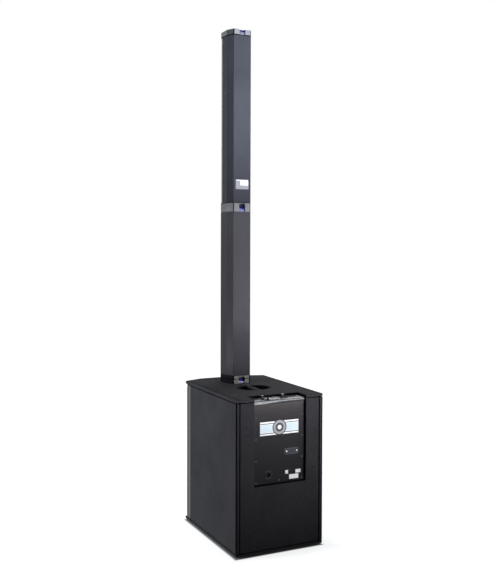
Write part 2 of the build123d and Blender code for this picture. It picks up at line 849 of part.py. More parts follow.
def make_ports():
    """Reflex port tubes with a flared mouth."""
    inner, outer, flare = port_radius, port_radius + port_wall, port_flare
    tube = turned((inner, -port_length), (outer, -port_length), (outer, 0), (outer + flare, 0),
                  (outer + flare, port_lip), (inner + flare, port_lip + port_wall / 2),
                  (inner + flare / 4, 0), (inner, -flare))
    z = floor_top + port_from_bottom
    return [facing_front(tube, x, baffle_y, z) for x in (-port_spacing / 2, port_spacing / 2)]


def grille_plan(inset):
    """The grille's outline from its side flanges round the bowed front."""
    side = half_width - grille_side_inset - inset
    back = side_front_y - module_clearance
    corner = rear_y - lid_side_depth + grille_setback + inset
    front = front_y + grille_setback + inset
    outline = make_face(Polyline(*mirrored([(side, back), (side, corner), (lid_bow_half_width, front)]),
                                 close=True))
    outline = fillet(outline.vertices().group_by(Axis.Y)[0], lid_bow_radius)
    front_corners = outline.vertices().filter_by(lambda v: v.Y < back - side_screw_inset)
    sides = front_corners.group_by(Axis.X)
    return fillet(sides[0] + sides[-1], grille_corner_radius)


def make_sub_grille():
    """A folded steel sheet, bowed like the panels, with return lips top and bottom."""
    low, high = floor_top + module_clearance, lid_bottom - module_clearance
    shell = slab(grille_plan(0) - grille_plan(grille_sheet), low, high)
    lip = grille_plan(0) - grille_plan(grille_lip)
    return shell + slab(lip, low, low + grille_sheet) + slab(lip, high - grille_sheet, high)


def make_sub_foam():
    """Acoustic foam behind the sheet."""
    low = floor_top + module_clearance + grille_sheet
    high = lid_bottom - module_clearance - grille_sheet
    return slab(grille_plan(grille_sheet) - grille_plan(grille_sheet + foam_thickness), low, high)


def make_sub_screws():
    head = pan_head(screw_head_radius, screw_head_height)
    y = side_front_y - side_screw_inset
    heights = spread(floor_top + side_screw_margin, lid_bottom - side_screw_margin, side_screw_count)
    x = half_width - grille_side_inset
    return [facing_side(head, side, side * x, y, z) for side in (-1, 1) for z in heights]


# ---- column outline, caps, plugs and locks ----
def column_plan(inset, depth, radius):
    """The column's outline: flat rear, two rear facets, straight sides and flat front."""
    slope = column_facet_depth / (column_side_half - column_rear_half)
    shift = inset * (math.sqrt(1 + slope ** 2) - 1) / slope
    rear_half = column_rear_half - shift
    facet_end = column_facet_depth + inset * (math.sqrt(1 + slope ** 2) - slope)
    side = column_side_half - inset
    front = column_rear_y - depth + inset
    corners = mirrored([(rear_half, column_rear_y - inset), (side, column_rear_y - facet_end), (side, front)])
    outline = make_face(Polyline(*corners, close=True))
    if radius <= 0:
        return outline
    return fillet(outline.vertices().group_by(Axis.Y)[0], radius)


def tube_outline(inset):
    return column_plan(inset, column_depth, max(column_corner_radius - inset, column_inner_radius))


def plug_outline(growth):
    """The plug's section, grown by a margin."""
    width, depth = plug_width + 2 * growth, plug_thickness + 2 * growth
    return Pos(0, plug_centre_y) * RectangleRounded(width, depth, plug_corner_radius + growth)


def socket_cavity(top):
    """The space that takes a plug below a given mating face."""
    return slab(plug_outline(plug_clearance), top - socket_depth, top)


def lock_channel(top, height):
    """The window for the lock in a rear face, with side grooves that guide it."""
    half = window_width / 2
    low = top - height
    channel = block((-half, half), (plug_rear_y, column_rear_y), (low, top))
    rail_low, rail_high = rail_heights(top, height)
    reach = half + lock_rail
    channel += block((-reach, reach), (plug_rear_y, column_rear_y - lock_setback - lock_rail),
                     (rail_low - lock_clearance, rail_high + lock_clearance))
    return channel


def rail_heights(top, height):
    """The lower and upper limits of the lock's side rails."""
    middle = top - height / 2
    return middle - lock_rail, middle + lock_rail


def make_lock(top, height):
    """A push lock with side rails, a nose for the plug's groove and a sloped thumb pad."""
    half = lock_width / 2
    low, high = top - height + lock_clearance, top - 2 * lock_clearance
    face_y = column_rear_y - lock_setback
    nose_y = plug_rear_y + plug_clearance
    lock = block((-half, half), (nose_y, face_y - lock_rail), (low, high))
    pad_profile = make_face(Polyline(
        (0, face_y - lock_rail, low),
        (0, face_y + lock_pad_reach, low),
        (0, face_y + lock_pad_reach - lock_pad_draft, low + (high - low) / 3),
        (0, face_y - lock_pad_draft, high),
        (0, face_y - lock_rail, high),
        close=True))
    lock += extrude(pad_profile, amount=half, both=True)
    rail_low, rail_high = rail_heights(top, height)
    reach = half + lock_rail
    rail_start, rail_end = nose_y + lock_travel + lock_side_clearance, face_y - 2 * lock_rail
    lock += block((-reach, reach), (rail_start, rail_end), (rail_low, rail_high))
    nose_cut = block((-half, half), (nose_y, nose_y + lock_travel - lock_side_clearance), (low, rail_low))
    return lock - nose_cut


def make_plug(seam):
    """The male plug under a bottom cap: a flange, a tapered tongue and its lock groove."""
    root = seam + plug_root_height
    plug = slab(plug_outline(0), seam - plug_length, root)
    plug = chamfer(plug.edges().group_by(Axis.Z)[0], plug_taper, plug_taper_side)
    plug += slab(plug_outline(plug_flange), root - plug_flange, root)
    half = lock_width / 2
    tab_y = column_rear_y - lock_setback
    tab_low, tab_high = seam + lock_clearance, seam + upper_window_height - lock_clearance
    tab = make_face(Polyline(
        (0, plug_rear_y, tab_low),
        (0, tab_y, tab_low),
        (0, tab_y - plug_tab_slope, tab_high),
        (0, plug_rear_y, tab_high),
        close=True))
    plug += extrude(tab, amount=half, both=True)
    groove = half + groove_margin
    plug -= block((-groove, groove), (plug_rear_y - lock_travel - groove_margin, plug_rear_y + groove_margin),
                  (seam - cap_window_height - groove_margin, seam))
    pin_low = seam - plug_length
    pin_high = pin_low + contact_length + groove_margin
    for x, y in contact_places():
        plug -= rod(x, y, contact_radius + contact_clearance, pin_low, pin_high)
    return plug


def contact_places():
    reach = contact_pitch * (contact_count - 1) / 2
    return [(x, plug_centre_y) for x in spread(-reach, reach, contact_count)]


def make_contacts(top):
    """Spring contact pins on the floor of a socket."""
    low = top - socket_depth
    return [rod(x, y, contact_radius, low, low + 2 * contact_length) for x, y in contact_places()]


def make_base():
    """The coupling base: a collar on the cabinet's top over a socket well."""
    outline = column_plan(0, column_depth, column_corner_radius)
    base = slab(outline, cabinet_top, base_top)
    base = fillet(base.edges().group_by(Axis.Z)[-1], cap_edge_radius)
    base += slab(base_well_outline(0), base_top - socket_depth - socket_wall, cabinet_top)
    base -= socket_cavity(base_top)
    return base - lock_channel(base_top, base_window_height)


def spacer_tongue():
    """The ring of a cap that fits inside the spacer tube."""
    inset = tube_wall + tube_fit
    return tube_outline(inset) - tube_outline(inset + cap_tongue_wall)


def satellite_tongue():
    """The ring of a cap that fits inside the satellite body, behind its baffle."""
    inset = tube_wall + tube_fit
    depth = satellite_body_depth - satellite_baffle_inset - satellite_baffle_thickness
    outline = column_plan(inset, depth, 0)
    return outline - column_plan(inset + cap_tongue_wall, depth, 0)


def make_bottom_cap(seam, tongue):
    """The cap that closes a column piece below and carries its plug."""
    top = seam + bottom_cap_height
    cap = slab(tube_outline(0), seam, top - cap_seam_height)
    cap = fillet(cap.edges().group_by(Axis.Z)[0], cap_edge_radius)
    cap += slab(tube_outline(cap_seam_depth), top - cap_seam_height, top)
    cap += slab(tongue, top, top + cap_tongue)
    root = seam + plug_root_height
    cap -= slab(plug_outline(0), seam, root)
    cap -= slab(plug_outline(plug_flange), root - plug_flange, root)
    half = window_width / 2
    return cap - block((-half, half), (plug_rear_y, column_rear_y), (seam, seam + upper_window_height))


def make_top_cap(seam, tongue):
    """The cap that closes a column piece above, with the socket and the lock window."""
    tube_top = seam - top_cap_height
    cap = slab(tube_outline(0), tube_top + cap_seam_height, seam)
    cap = fillet(cap.edges().group_by(Axis.Z)[-1], cap_edge_radius)
    cap += slab(tube_outline(cap_seam_depth), tube_top, tube_top + cap_seam_height)
    cap += slab(tongue, tube_top - cap_tongue, tube_top)
    cap += slab(base_well_outline(0), seam - socket_depth - socket_wall, tube_top)
    cap -= socket_cavity(seam)
    return cap - lock_channel(seam, cap_window_height)


def make_spacer_tube():
    low, high = base_top + bottom_cap_height, spacer_top - top_cap_height
    return slab(tube_outline(0) - tube_outline(tube_wall), low, high)


# ---- satellite speaker ----
def satellite_plan(inset):
    """The satellite body's outline, shallower than the caps to leave room for the grille."""
    return column_plan(inset, satellite_body_depth, 0)


def make_satellite_body():
    shell = satellite_plan(0)
    cavity = column_plan(tube_wall, satellite_body_depth + 2 * tube_wall, 0)
    return slab(shell - cavity, satellite_low, satellite_high)


def make_satellite_baffle():
    reach = column_side_half - tube_wall
    low = satellite_low + cap_tongue + module_clearance
    high = satellite_high - cap_tongue - module_clearance
    back_y = satellite_baffle_y + satellite_baffle_thickness
    baffle = block((-reach, reach), (satellite_baffle_y, back_y), (low, high))
    hole = Cylinder(mid_frame_radius + cutout_clearance, 3 * satellite_baffle_thickness)
    for z in mid_heights():
        baffle -= facing_front(hole, 0, satellite_baffle_y, z)
    well_low = object_top - socket_depth - socket_wall - module_clearance
    return baffle - slab(base_well_outline(module_clearance), well_low, high)


def mid_heights():
    return spread(mid_middle - mid_reach, mid_middle + mid_reach, mid_count)


def make_mid_frame(z):
    """A small driver's frame and motor in one turned form."""
    outer, inner = mid_coil_radius + mid_coil_gap, mid_coil_radius - mid_coil_wall - mid_coil_gap
    low, flange, seat = -mid_frame_depth, mid_flange, mid_frame_radius - mid_coil_wall
    gap = -mid_cone_depth - mid_coil_length - 2 * mid_travel
    back = gap - mid_magnet_back
    neck = 2 * mid_coil_radius
    frame = turned((mid_radius, 0), (mid_radius, flange), (seat, flange), (seat - mid_coil_wall, 0),
                   (neck, low + flange), (neck, low), (outer, low), (outer, gap), (inner, gap), (inner, low),
                   (0, low), (0, back), (mid_magnet_radius, back), (mid_magnet_radius, low),
                   (neck + mid_magnet_back, low + flange), (mid_frame_radius, 0))
    return facing_front(frame, 0, satellite_baffle_y, z)


def make_mid_cone(z):
    """Cone, dust dome and coil of a small driver."""
    rim, wall, low = mid_cone_radius, mid_cone_wall, -mid_cone_depth
    outer, inner = mid_coil_radius, mid_coil_radius - mid_coil_wall
    top, dome = mid_flange + wall, low + mid_dome_height
    cone = turned((rim, mid_flange), (rim, top), (rim - wall, top), (outer + wall, low + wall),
                  (outer / 2, dome + wall), (0, dome + 2 * wall), (0, dome + wall), (outer / 2, dome),
                  (inner, low), (inner, low - mid_coil_length), (outer, low - mid_coil_length), (outer, low))
    return facing_front(cone, 0, satellite_baffle_y, z)


def make_mid_surround(z):
    roll = half_roll(mid_cone_radius + shaft_fit, mid_frame_radius, mid_flange, mid_surround_wall,
                     mid_coil_wall, 5)
    return facing_front(roll, 0, satellite_baffle_y, z)


def satellite_grille_plan(inset):
    """The folded grille's outline: side flanges on the body and a flat front."""
    side = column_side_half - inset
    front = column_rear_y - satellite_grille_depth + inset
    back = satellite_front_y - module_clearance / 2
    outline = make_face(Polyline(*mirrored([(side, back), (side, front)]), close=True))
    radius = max(column_corner_radius - inset, column_inner_radius)
    return fillet(outline.vertices().group_by(Axis.Y)[0], radius)


def make_satellite_grille():
    gap = module_clearance
    low, high = satellite_low + gap, satellite_high - gap
    shell = slab(satellite_grille_plan(0) - satellite_grille_plan(grille_sheet), low, high)
    lip = satellite_grille_plan(0) - satellite_grille_plan(grille_lip)
    return shell + slab(lip, low, low + grille_sheet) + slab(lip, high - grille_sheet, high)


def make_satellite_screws():
    head = pan_head(satellite_screw_radius, satellite_screw_height)
    y = satellite_front_y - satellite_screw_inset
    low, high = satellite_low + satellite_screw_margin, satellite_high - satellite_screw_margin
    heights = spread(low, high, side_screw_count)
    return [facing_side(head, side, side * column_side_half, y, z) for side in (-1, 1) for z in heights]


# ---- the whole object ----
def build_cabinet():
    save("side_panel_left", make_side_panel(1))
    save("side_panel_right", make_side_panel(-1))
    save("top_panel", make_top_panel())
    save("bottom_panel", make_bottom_panel())
    save("rear_panel", make_rear_panel())
    save("front_baffle", make_front_baffle())
    save("internal_brace", make_brace())
    save("rubber_feet", *[Pos(x, y, 0) * make_foot() for x, y in foot_places()])
    save("top_handle", make_handle())
    save("sub_grille", make_sub_grille())
    save("sub_grille_foam", make_sub_foam())
    save("sub_grille_screws", *make_sub_screws())
    save("bass_ports", *make_ports())


def build_woofer():
    pieces = {
        "woofer_basket": make_woofer_basket(),
        "woofer_magnet": make_woofer_magnet(),
        "woofer_cone": make_woofer_cone(),
        "woofer_dust_cap": make_dust_cap(),
        "woofer_voice_coil": make_voice_coil(),
        "woofer_surround": make_woofer_surround(),
        "woofer_spider": make_woofer_spider(),
    }
    for node, shape in pieces.items():
        save(node, facing_front(shape, 0, baffle_y, woofer_z))
    save("woofer_bolts", *make_woofer_bolts())


def build_module():
    save("amp_housing", make_housing())
    save("amp_plate", make_plate())
    save("mixer_deck", make_deck())
    save("combo_sockets", *[make_combo_socket(spot) for spot in combo_spots])
    save("phono_sockets", *[make_phono_socket(spot) for spot in phono_spots])
    save("jack_socket", make_jack_socket(jack_spot))
    for index, spot in enumerate(knob_spots):
        save(f"level_knob_{index + 1}", make_knob(spot))
    save("mode_button", make_button())
    lights = [rod(*on_deck(spot), light_radius, deck_bottom, deck_top + light_height) for spot in light_spots]
    save("status_lights", *lights)
    save("circuit_boards", *make_boards())
    save("heat_sink", make_heat_sink())
    save("power_transformer", *make_transformer())
    save("power_inlet", make_inlet())
    save("inlet_contacts", make_inlet_contacts())
    save("plate_screws", *make_plate_screws())


def build_column():
    save("coupling_base", make_base())
    save("base_contacts", *make_contacts(base_top))
    save("base_lock", make_lock(base_top, base_window_height))
    save("spacer_plug", make_plug(base_top))
    save("spacer_bottom_cap", make_bottom_cap(base_top, spacer_tongue()))
    save("spacer_tube", make_spacer_tube())
    save("spacer_top_cap", make_top_cap(spacer_top, spacer_tongue()))
    save("spacer_contacts", *make_contacts(spacer_top))
    save("spacer_lock", make_lock(spacer_top, cap_window_height))
    save("satellite_plug", make_plug(spacer_top))
    save("satellite_bottom_cap", make_bottom_cap(spacer_top, satellite_tongue()))
    save("satellite_top_cap", make_top_cap(object_top, satellite_tongue()))
    save("satellite_contacts", *make_contacts(object_top))
    save("satellite_lock", make_lock(object_top, cap_window_height))


def build_satellite():
    save("satellite_body", make_satellite_body())
    save("satellite_baffle", make_satellite_baffle())
    save("satellite_grille", make_satellite_grille())
    save("satellite_grille_screws", *make_satellite_screws())
    save("mid_frames", *[make_mid_frame(z) for z in mid_heights()])
    save("mid_cones", *[make_mid_cone(z) for z in mid_heights()])
    save("mid_surrounds", *[make_mid_surround(z) for z in mid_heights()])


build_cabinet()
build_woofer()
build_module()
build_column()
build_satellite()
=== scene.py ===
import json
import math

import bmesh
import bpy
from mathutils import Matrix, Vector


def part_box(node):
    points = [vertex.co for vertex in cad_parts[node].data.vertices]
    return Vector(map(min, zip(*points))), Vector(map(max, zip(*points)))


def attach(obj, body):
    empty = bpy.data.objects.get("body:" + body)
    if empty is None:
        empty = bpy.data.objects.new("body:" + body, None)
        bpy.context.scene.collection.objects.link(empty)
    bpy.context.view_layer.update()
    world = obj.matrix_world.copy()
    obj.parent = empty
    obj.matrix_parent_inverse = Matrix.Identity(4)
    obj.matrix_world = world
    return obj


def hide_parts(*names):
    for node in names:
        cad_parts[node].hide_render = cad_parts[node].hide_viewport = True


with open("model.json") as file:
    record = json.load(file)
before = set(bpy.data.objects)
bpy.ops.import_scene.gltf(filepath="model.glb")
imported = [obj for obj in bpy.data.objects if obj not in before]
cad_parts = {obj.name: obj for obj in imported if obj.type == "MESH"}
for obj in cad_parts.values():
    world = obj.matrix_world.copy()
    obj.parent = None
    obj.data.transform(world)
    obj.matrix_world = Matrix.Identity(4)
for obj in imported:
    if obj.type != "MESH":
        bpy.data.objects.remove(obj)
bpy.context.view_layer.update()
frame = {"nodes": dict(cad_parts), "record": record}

MM = 0.001

# ---- places worked out from the frame, in metres ----
LID_LOW, LID_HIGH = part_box("top_panel")
REAR, LID_TOP = LID_HIGH[1], LID_HIGH[2]
BOTTOM_PANEL_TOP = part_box("bottom_panel")[1][2]
REAR_PANEL_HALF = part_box("rear_panel")[1][0]
PLATE_LOW, PLATE_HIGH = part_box("amp_plate")
DECK_LOW, DECK_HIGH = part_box("mixer_deck")
HANDLE_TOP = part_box("top_handle")[1][2]
GRILLE_LOW, GRILLE_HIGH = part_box("sub_grille")
BASE_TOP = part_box("coupling_base")[1][2]
SPACER_LOW, SPACER_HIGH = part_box("spacer_tube")
SATELLITE_LOW, SATELLITE_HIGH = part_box("satellite_body")
COLUMN_GRILLE_LOW, COLUMN_GRILLE_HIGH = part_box("satellite_grille")
COLUMN_REAR = SATELLITE_HIGH[1]
# half the width of the column's flat rear face
COLUMN_FACE_HALF = 41.5 * MM
# how far back from that face the slanting edges beside it reach
COLUMN_SLANT = 38 * MM

# ---- camera, from the edges of the cabinet and the column ----
CAMERA_PLACE = Vector((1.581, REAR + 2.9223, 1.2431))
CAMERA_YAW = 0.4549
CAMERA_PITCH = 0.0235
CAMERA_ROLL = 0.0028
FOCAL_PIXELS = 822.07
PICTURE_HEIGHT = 576.0
HORIZON_ROW = 266.06
SENSOR = 36.0


def add_camera():
    """Looks at the rear from its +X side, a little above the cabinet."""
    yaw, pitch, roll = CAMERA_YAW, CAMERA_PITCH, CAMERA_ROLL
    forward = Vector((-math.sin(yaw) * math.cos(pitch),
                      -math.cos(yaw) * math.cos(pitch),
                      -math.sin(pitch)))
    right = Vector((-math.cos(yaw), math.sin(yaw), 0.0))
    up = right.cross(forward)
    right, up = (math.cos(roll) * right + math.sin(roll) * up,
                 math.cos(roll) * up - math.sin(roll) * right)
    data = bpy.data.cameras.new("camera")
    data.sensor_width = SENSOR
    data.lens = FOCAL_PIXELS / PICTURE_HEIGHT * SENSOR
    data.shift_y = (HORIZON_ROW - PICTURE_HEIGHT / 2) / PICTURE_HEIGHT
    camera = bpy.data.objects.new("camera", data)
    bpy.context.scene.collection.objects.link(camera)
    turn = Matrix((right, up, -forward)).transposed()
    camera.matrix_world = Matrix.Translation(CAMERA_PLACE) @ turn.to_4x4()
    bpy.context.scene.camera = camera


# ---- node graphs ----
class Graph:
    """A node tree, with short calls for the nodes used here. Most return the socket they end in."""

    def __init__(self, tree):
        self.tree = tree

    def feed(self, socket, value):
        """Links an input to another node's socket, or sets it to a constant."""
        if isinstance(value, bpy.types.NodeSocket):
            self.tree.links.new(value, socket)
        else:
            socket.default_value = value

    def node(self, kind, inputs, **settings):
        """A new node with its settings, and its inputs fed by name or by place."""
        node = self.tree.nodes.new("ShaderNode" + kind)
        for setting, value in settings.items():
            setattr(node, setting, value)
        for key, value in inputs.items():
            self.feed(node.inputs[key], value)
        return node

    def math(self, operation, *values):
        """One step of arithmetic."""
        return self.node("Math", dict(enumerate(values)), operation=operation).outputs[0]

    def times(self, product, *values):
        """The product of all the values."""
        for value in values:
            product = self.math("MULTIPLY", product, value)
        return product

    def linear(self, value, low, high, first, last, kind="LINEAR"):
        """Maps the range low to high of a value evenly to the range first to last."""
        inputs = {"Value": value, "From Min": low, "From Max": high,
                  "To Min": first, "To Max": last}
        return self.node("MapRange", inputs, interpolation_type=kind).outputs["Result"]

    def smooth(self, value, low, high, first=0, last=1):
        """The same with soft ends."""
        return self.linear(value, low, high, first, last, "SMOOTHSTEP")

    def inside(self, value, low, high, soft):
        """1 where a value lies between low and high, with soft ends, and 0 elsewhere."""
        rise = self.smooth(value, low - soft, low + soft)
        return self.times(rise, self.smooth(value, high - soft, high + soft, 1, 0))

    def split(self, vector):
        """The X, Y and Z of a vector."""
        outputs = self.node("SeparateXYZ", {0: vector}).outputs
        return outputs["X"], outputs["Y"], outputs["Z"]

    def ramp(self, value, stops):
        """A colour ramp with (position, colour) stops."""
        node = self.node("ValToRGB", {"Fac": value})
        elements = node.color_ramp.elements
        while len(elements) < len(stops):
            elements.new(0.5)
        for element, (position, colour) in zip(elements, stops):
            element.position = position
            element.color = (*colour, 1)
        return node.outputs["Color"]

    def mix(self, factor, first, second, kind="MIX"):
        """Two colours mixed."""
        inputs = {"Factor": factor, "A": first, "B": second}
        node = self.node("Mix", inputs, data_type="RGBA", blend_type=kind)
        return node.outputs["Result"]


class Paint(Graph):
    """The graph of a new material, with its principled shader and object coordinates."""

    def __init__(self, name):
        self.material = bpy.data.materials.new(name)
        self.material.use_nodes = True
        super().__init__(self.material.node_tree)
        self.shader = self.tree.nodes["Principled BSDF"]
        self.place = self.node("TexCoord", {}).outputs["Object"]

    def give(self, inputs):
        """Feeds the shader's inputs by name."""
        for key, value in inputs.items():
            self.feed(self.shader.inputs[key], value)

    def noise(self, scale, detail, roughness=0.55, stretch=None):
        """A noise in object space; scale is in cycles per metre."""
        place = self.place
        if stretch:
            place = self.node("Mapping", {"Scale": stretch, "Vector": place}).outputs["Vector"]
        inputs = {"Scale": scale, "Detail": detail, "Roughness": roughness, "Vector": place}
        return self.node("TexNoise", inputs).outputs["Fac"]

    def cells(self, scale, feature="F1"):
        """Distance to the nearest of many scattered points; scale is in points per metre."""
        inputs = {"Scale": scale, "Vector": self.place}
        return self.node("TexVoronoi", inputs, feature=feature).outputs["Distance"]

    def roughen(self, scale, rough):
        """Uneven gloss between two roughnesses."""
        self.give({"Roughness": self.linear(self.noise(scale, 3.0), 0, 1, *rough)})

    def bump(self, height, strength, distance):
        """Relief from a height between 0 and 1; distance is in metres."""
        inputs = {"Strength": strength, "Distance": distance, "Height": height}
        self.give({"Normal": self.node("Bump", inputs).outputs["Normal"]})

    def shade(self, colour, light, specular):
        """Colour and gloss, both darker where the painted light and shade is below 1."""
        self.give({"Base Color": self.mix(1.0, colour, light, "MULTIPLY"),
                   "Specular IOR Level": self.times(light, specular)})


def tinted(colour, factor):
    """A colour made lighter or darker."""
    return tuple(min(channel * factor, 1.0) for channel in colour)


def drifting(colour, variation):
    """The stops of a ramp that strays from a colour by a share of it, both ways."""
    return [(0.3, tinted(colour, 1 - variation)), (0.7, tinted(colour, 1 + variation))]


# ---- light, floor and world ----
# name, place, target, size, power, colour, spread in degrees
LIGHTS = [
    ("key_rear", (-1.6, 3.0, 2.6), (0, 0, 1.9), (0.8, 0.8), 9.0, (0.95, 0.965, 1), 40),
    ("low_rear", (-1.6, 2.6, 0.98), (0, 0, 1.04), (0.5, 0.85), 8.1, (0.98, 0.975, 1), 36),
    ("side_soft", (3.2, -0.9, 1.0), (0, 0, 0.8), (1.2, 2.2), 84, (0.98, 0.985, 1), 150),
    ("side_high", (3.0, -1.6, 2.2), (0, 0, 1.9), (0.8, 0.8), 4, (0.9, 0.95, 1), 50),
    ("facet_high", (2.65, 1.3, 2.9), (0, 0, 2.0), (0.6, 0.6), 5, (0.85, 0.92, 1), 34),
    ("front_fill", (-2.8, -2.0, 1.3), (0, -0.1, 1.0), (1.6, 1.8), 16, (1, 1, 1), 100),
]
WORLD_LIGHT = 0.06
FLOOR_HALF = 14.0
FLOOR_COLOUR = (0.4, 0.4, 0.41, 1)
FLOOR_GLOW = (0.985, 0.995, 1, 1)
# distances in metres, then the glow at each: from the middle, and from the cabinet's outline, where
# the glow dims to a painted contact shadow and a wider painted shade
FLOOR_RISE = (0.5, 2.2, 0.96, 1.0)
FLOOR_CONTACT_SHADOW = (-0.004, 0.009, 0.0, 1.0)
FLOOR_PAINTED_SHADE = (0.0, 0.1, 0.88, 1.0)
# how far the cabinet's front bows out beyond its sides
FRONT_BOW = 0.06


def add_area(name, place, target, size, power, colour, spread):
    """A rectangular lamp that points at a target."""
    data = bpy.data.lights.new(name, "AREA")
    data.spread = math.radians(spread)
    data.shape = "RECTANGLE"
    data.size, data.size_y = size
    data.energy = power
    data.color = colour
    lamp = bpy.data.objects.new(name, data)
    lamp.location = place
    lamp.rotation_euler = (Vector(target) - Vector(place)).to_track_quat("-Z", "Y").to_euler()
    bpy.context.scene.collection.objects.link(lamp)


def add_lights():
    """Soft lamps behind, beside and in front of the object."""
    for entry in LIGHTS:
        add_area(*entry)


def seen_directly(graph):
    """1 for rays that show a surface as it is: the camera's, and those of gloss and glass."""
    rays = graph.node("LightPath", {}).outputs
    seen = rays["Is Camera Ray"]
    for kind in ("Is Glossy Ray", "Is Transmission Ray"):
        seen = graph.math("MAXIMUM", seen, rays[kind])
    return seen


def set_world():
    """A plain pale surround: white to the camera and to gloss, dimmer as light."""
    world = bpy.data.worlds.new("surround")
    bpy.context.scene.world = world
    world.use_nodes = True
    graph = Graph(world.node_tree)
    back = world.node_tree.nodes["Background"].inputs
    graph.feed(back["Strength"], graph.linear(seen_directly(graph), 0, 1, WORLD_LIGHT, 1.0))
    graph.feed(back["Color"], (1, 1, 1, 1))


def beside_cabinet(graph, place):
    """How far a point of the floor lies outside the cabinet's outline, negative under it."""
    x, y, _ = graph.split(place)
    beyond_side = graph.math("SUBTRACT", graph.math("ABSOLUTE", x), LID_HIGH[0])
    middle = (LID_HIGH[1] + LID_LOW[1] + FRONT_BOW / 2) / 2
    from_middle = graph.math("ABSOLUTE", graph.math("SUBTRACT", y, middle))
    beyond_end = graph.math("SUBTRACT", from_middle, LID_HIGH[1] - middle)
    return graph.math("MAXIMUM", beyond_side, beyond_end)


def add_floor():
    """A wide white floor that keeps the object's soft shadow, with a painted shadow round the
    cabinet's outline where its glow dims.
    """
    mesh = bpy.data.meshes.new("floor")
    corners = [(x * FLOOR_HALF, y * FLOOR_HALF, 0) for x, y in ((-1, -1), (1, -1), (1, 1), (-1, 1))]
    mesh.from_pydata(corners, [], [(0, 1, 2, 3)])
    floor = bpy.data.objects.new("floor", mesh)
    bpy.context.scene.collection.objects.link(floor)
    material = bpy.data.materials.new("floor_white")
    material.use_nodes = True
    material.node_tree.nodes.clear()
    graph = Graph(material.node_tree)
    place = graph.node("TexCoord", {}).outputs["Object"]
    from_middle = graph.node("VectorMath", {0: place}, operation="LENGTH").outputs["Value"]
    gap = beside_cabinet(graph, place)
    level = graph.times(graph.smooth(from_middle, *FLOOR_RISE), graph.smooth(gap, *FLOOR_CONTACT_SHADOW),
                        graph.smooth(gap, *FLOOR_PAINTED_SHADE), seen_directly(graph))
    plain = graph.node("BsdfDiffuse", {"Color": FLOOR_COLOUR}).outputs[0]
    glow = graph.node("Emission", {"Color": FLOOR_GLOW, "Strength": level}).outputs[0]
    both = graph.node("AddShader", {0: plain, 1: glow}).outputs[0]
    graph.node("OutputMaterial", {"Surface": both})
    mesh.materials.append(material)


# ---- painted light and shade of the materials, by place, and their grain ----
SEAM_WIDTH = 3.6 * MM
# lowest and highest place of a seam across the cabinet's rear, and the painted shade in it
CABINET_SEAM_SHADE = [(LID_LOW[2] - 0.5 * MM, LID_LOW[2] + SEAM_WIDTH, 0.08),
                 (BOTTOM_PANEL_TOP - SEAM_WIDTH, BOTTOM_PANEL_TOP + 0.5 * MM, 0.3)]
# painted shade in the seam beside the rear panel, on the rim round it, at the corners and in the
# notch
SIDE_SEAM_SHADE, RIM_SHADE, CORNER_SHADE, NOTCH_SHADE = 0.04, 0.3, 0.16, 0.12
# distances before the cabinet's rear at which the side panels' rear edge begins and is full,
# and at which the inset rear panel's own zone is full and ends
SIDE_EDGE = (5 * MM, 3.2 * MM)
PANEL_INSET = (3 * MM, 2 * MM)
# distances from the cabinet's side at which a corner's painted shade begins and is full
CORNER_REACH = (5.5 * MM, 3.5 * MM)
# how far the rim's painted shade reaches to the inside and to the outside of its seam
RIM_REACH = (1.6 * MM, 0.4 * MM)
# how far the notch's painted shade reaches beyond the plate, towards -X, towards +X and below it
NOTCH_REACH = (3.6 * MM, 0.9 * MM, 4 * MM)
# distances before the deck at which the notch's painted shade begins and is full
NOTCH_START = (1.2 * MM, 0.8 * MM)
# half the width of the handle's grip bar, and its depth: where its tone is full and where it ends
GRIP_HALF = (9 * MM, 10.5 * MM)
GRIP_DEPTH = (3 * MM, 8 * MM)

# share of the lock's height, and the colour there, with a painted highlight at the bottom and
# painted shade above it, for the lower locks and the highest one
LOCK_LIGHT_AND_SHADE = [
    (0.0, (0.05, 0.052, 0.19)),
    (0.2, (0.034, 0.035, 0.18)),
    (0.36, (0.01, 0.01, 0.11)),
    (0.46, (0.002, 0.002, 0.03)),
]
HIGH_LOCK_LIGHT_AND_SHADE = [
    (0.0, (0.2, 0.21, 0.26)),
    (0.44, (0.18, 0.184, 0.28)),
    (0.56, (0.006, 0.006, 0.12)),
]
# how much a lock's painted shade shifts from one side to the other
LOCK_SHADE_LEAN = -0.35

# height as a share of the plate, and the paint's colour there, with a painted sheen that grows
# lighter towards the top
PLATE_PAINTED_SHEEN = [
    (0.0, (0.0135, 0.014, 0.0165)),
    (0.2, (0.017, 0.0175, 0.0195)),
    (0.45, (0.021, 0.021, 0.0235)),
    (0.68, (0.028, 0.0272, 0.029)),
    (0.84, (0.037, 0.035, 0.037)),
    (0.91, (0.05, 0.046, 0.048)),
    (1.0, (0.072, 0.066, 0.067)),
]

# share of the height, and the painted light and shade there, in units of SHADE_UNIT:
# on the slanting edges beside the rear face, then on the face itself
SHADE_UNIT = 4
SPACER_SLANT_LIGHT = [(0.0, 0.25), (0.08, 0.35), (0.2, 0.3), (0.32, 0.25), (0.55, 0.195), (1.0, 0.195)]
SATELLITE_SLANT_LIGHT = [(0.0, 0.14), (0.16, 0.155), (0.4, 0.18), (0.62, 0.2), (0.78, 0.26),
                    (0.92, 0.325), (1.0, 0.34)]
SPACER_FACE_LIGHT = [(0.0, 0.17), (0.06, 0.21), (0.24, 0.235), (0.35, 0.29), (0.5, 0.252),
               (0.75, 0.237), (1.0, 0.268)]
SATELLITE_FACE_LIGHT = [(0.0, 0.24), (0.1, 0.306), (0.26, 0.41), (0.4, 0.463), (0.62, 0.5),
                  (0.78, 0.432), (1.0, 0.53)]
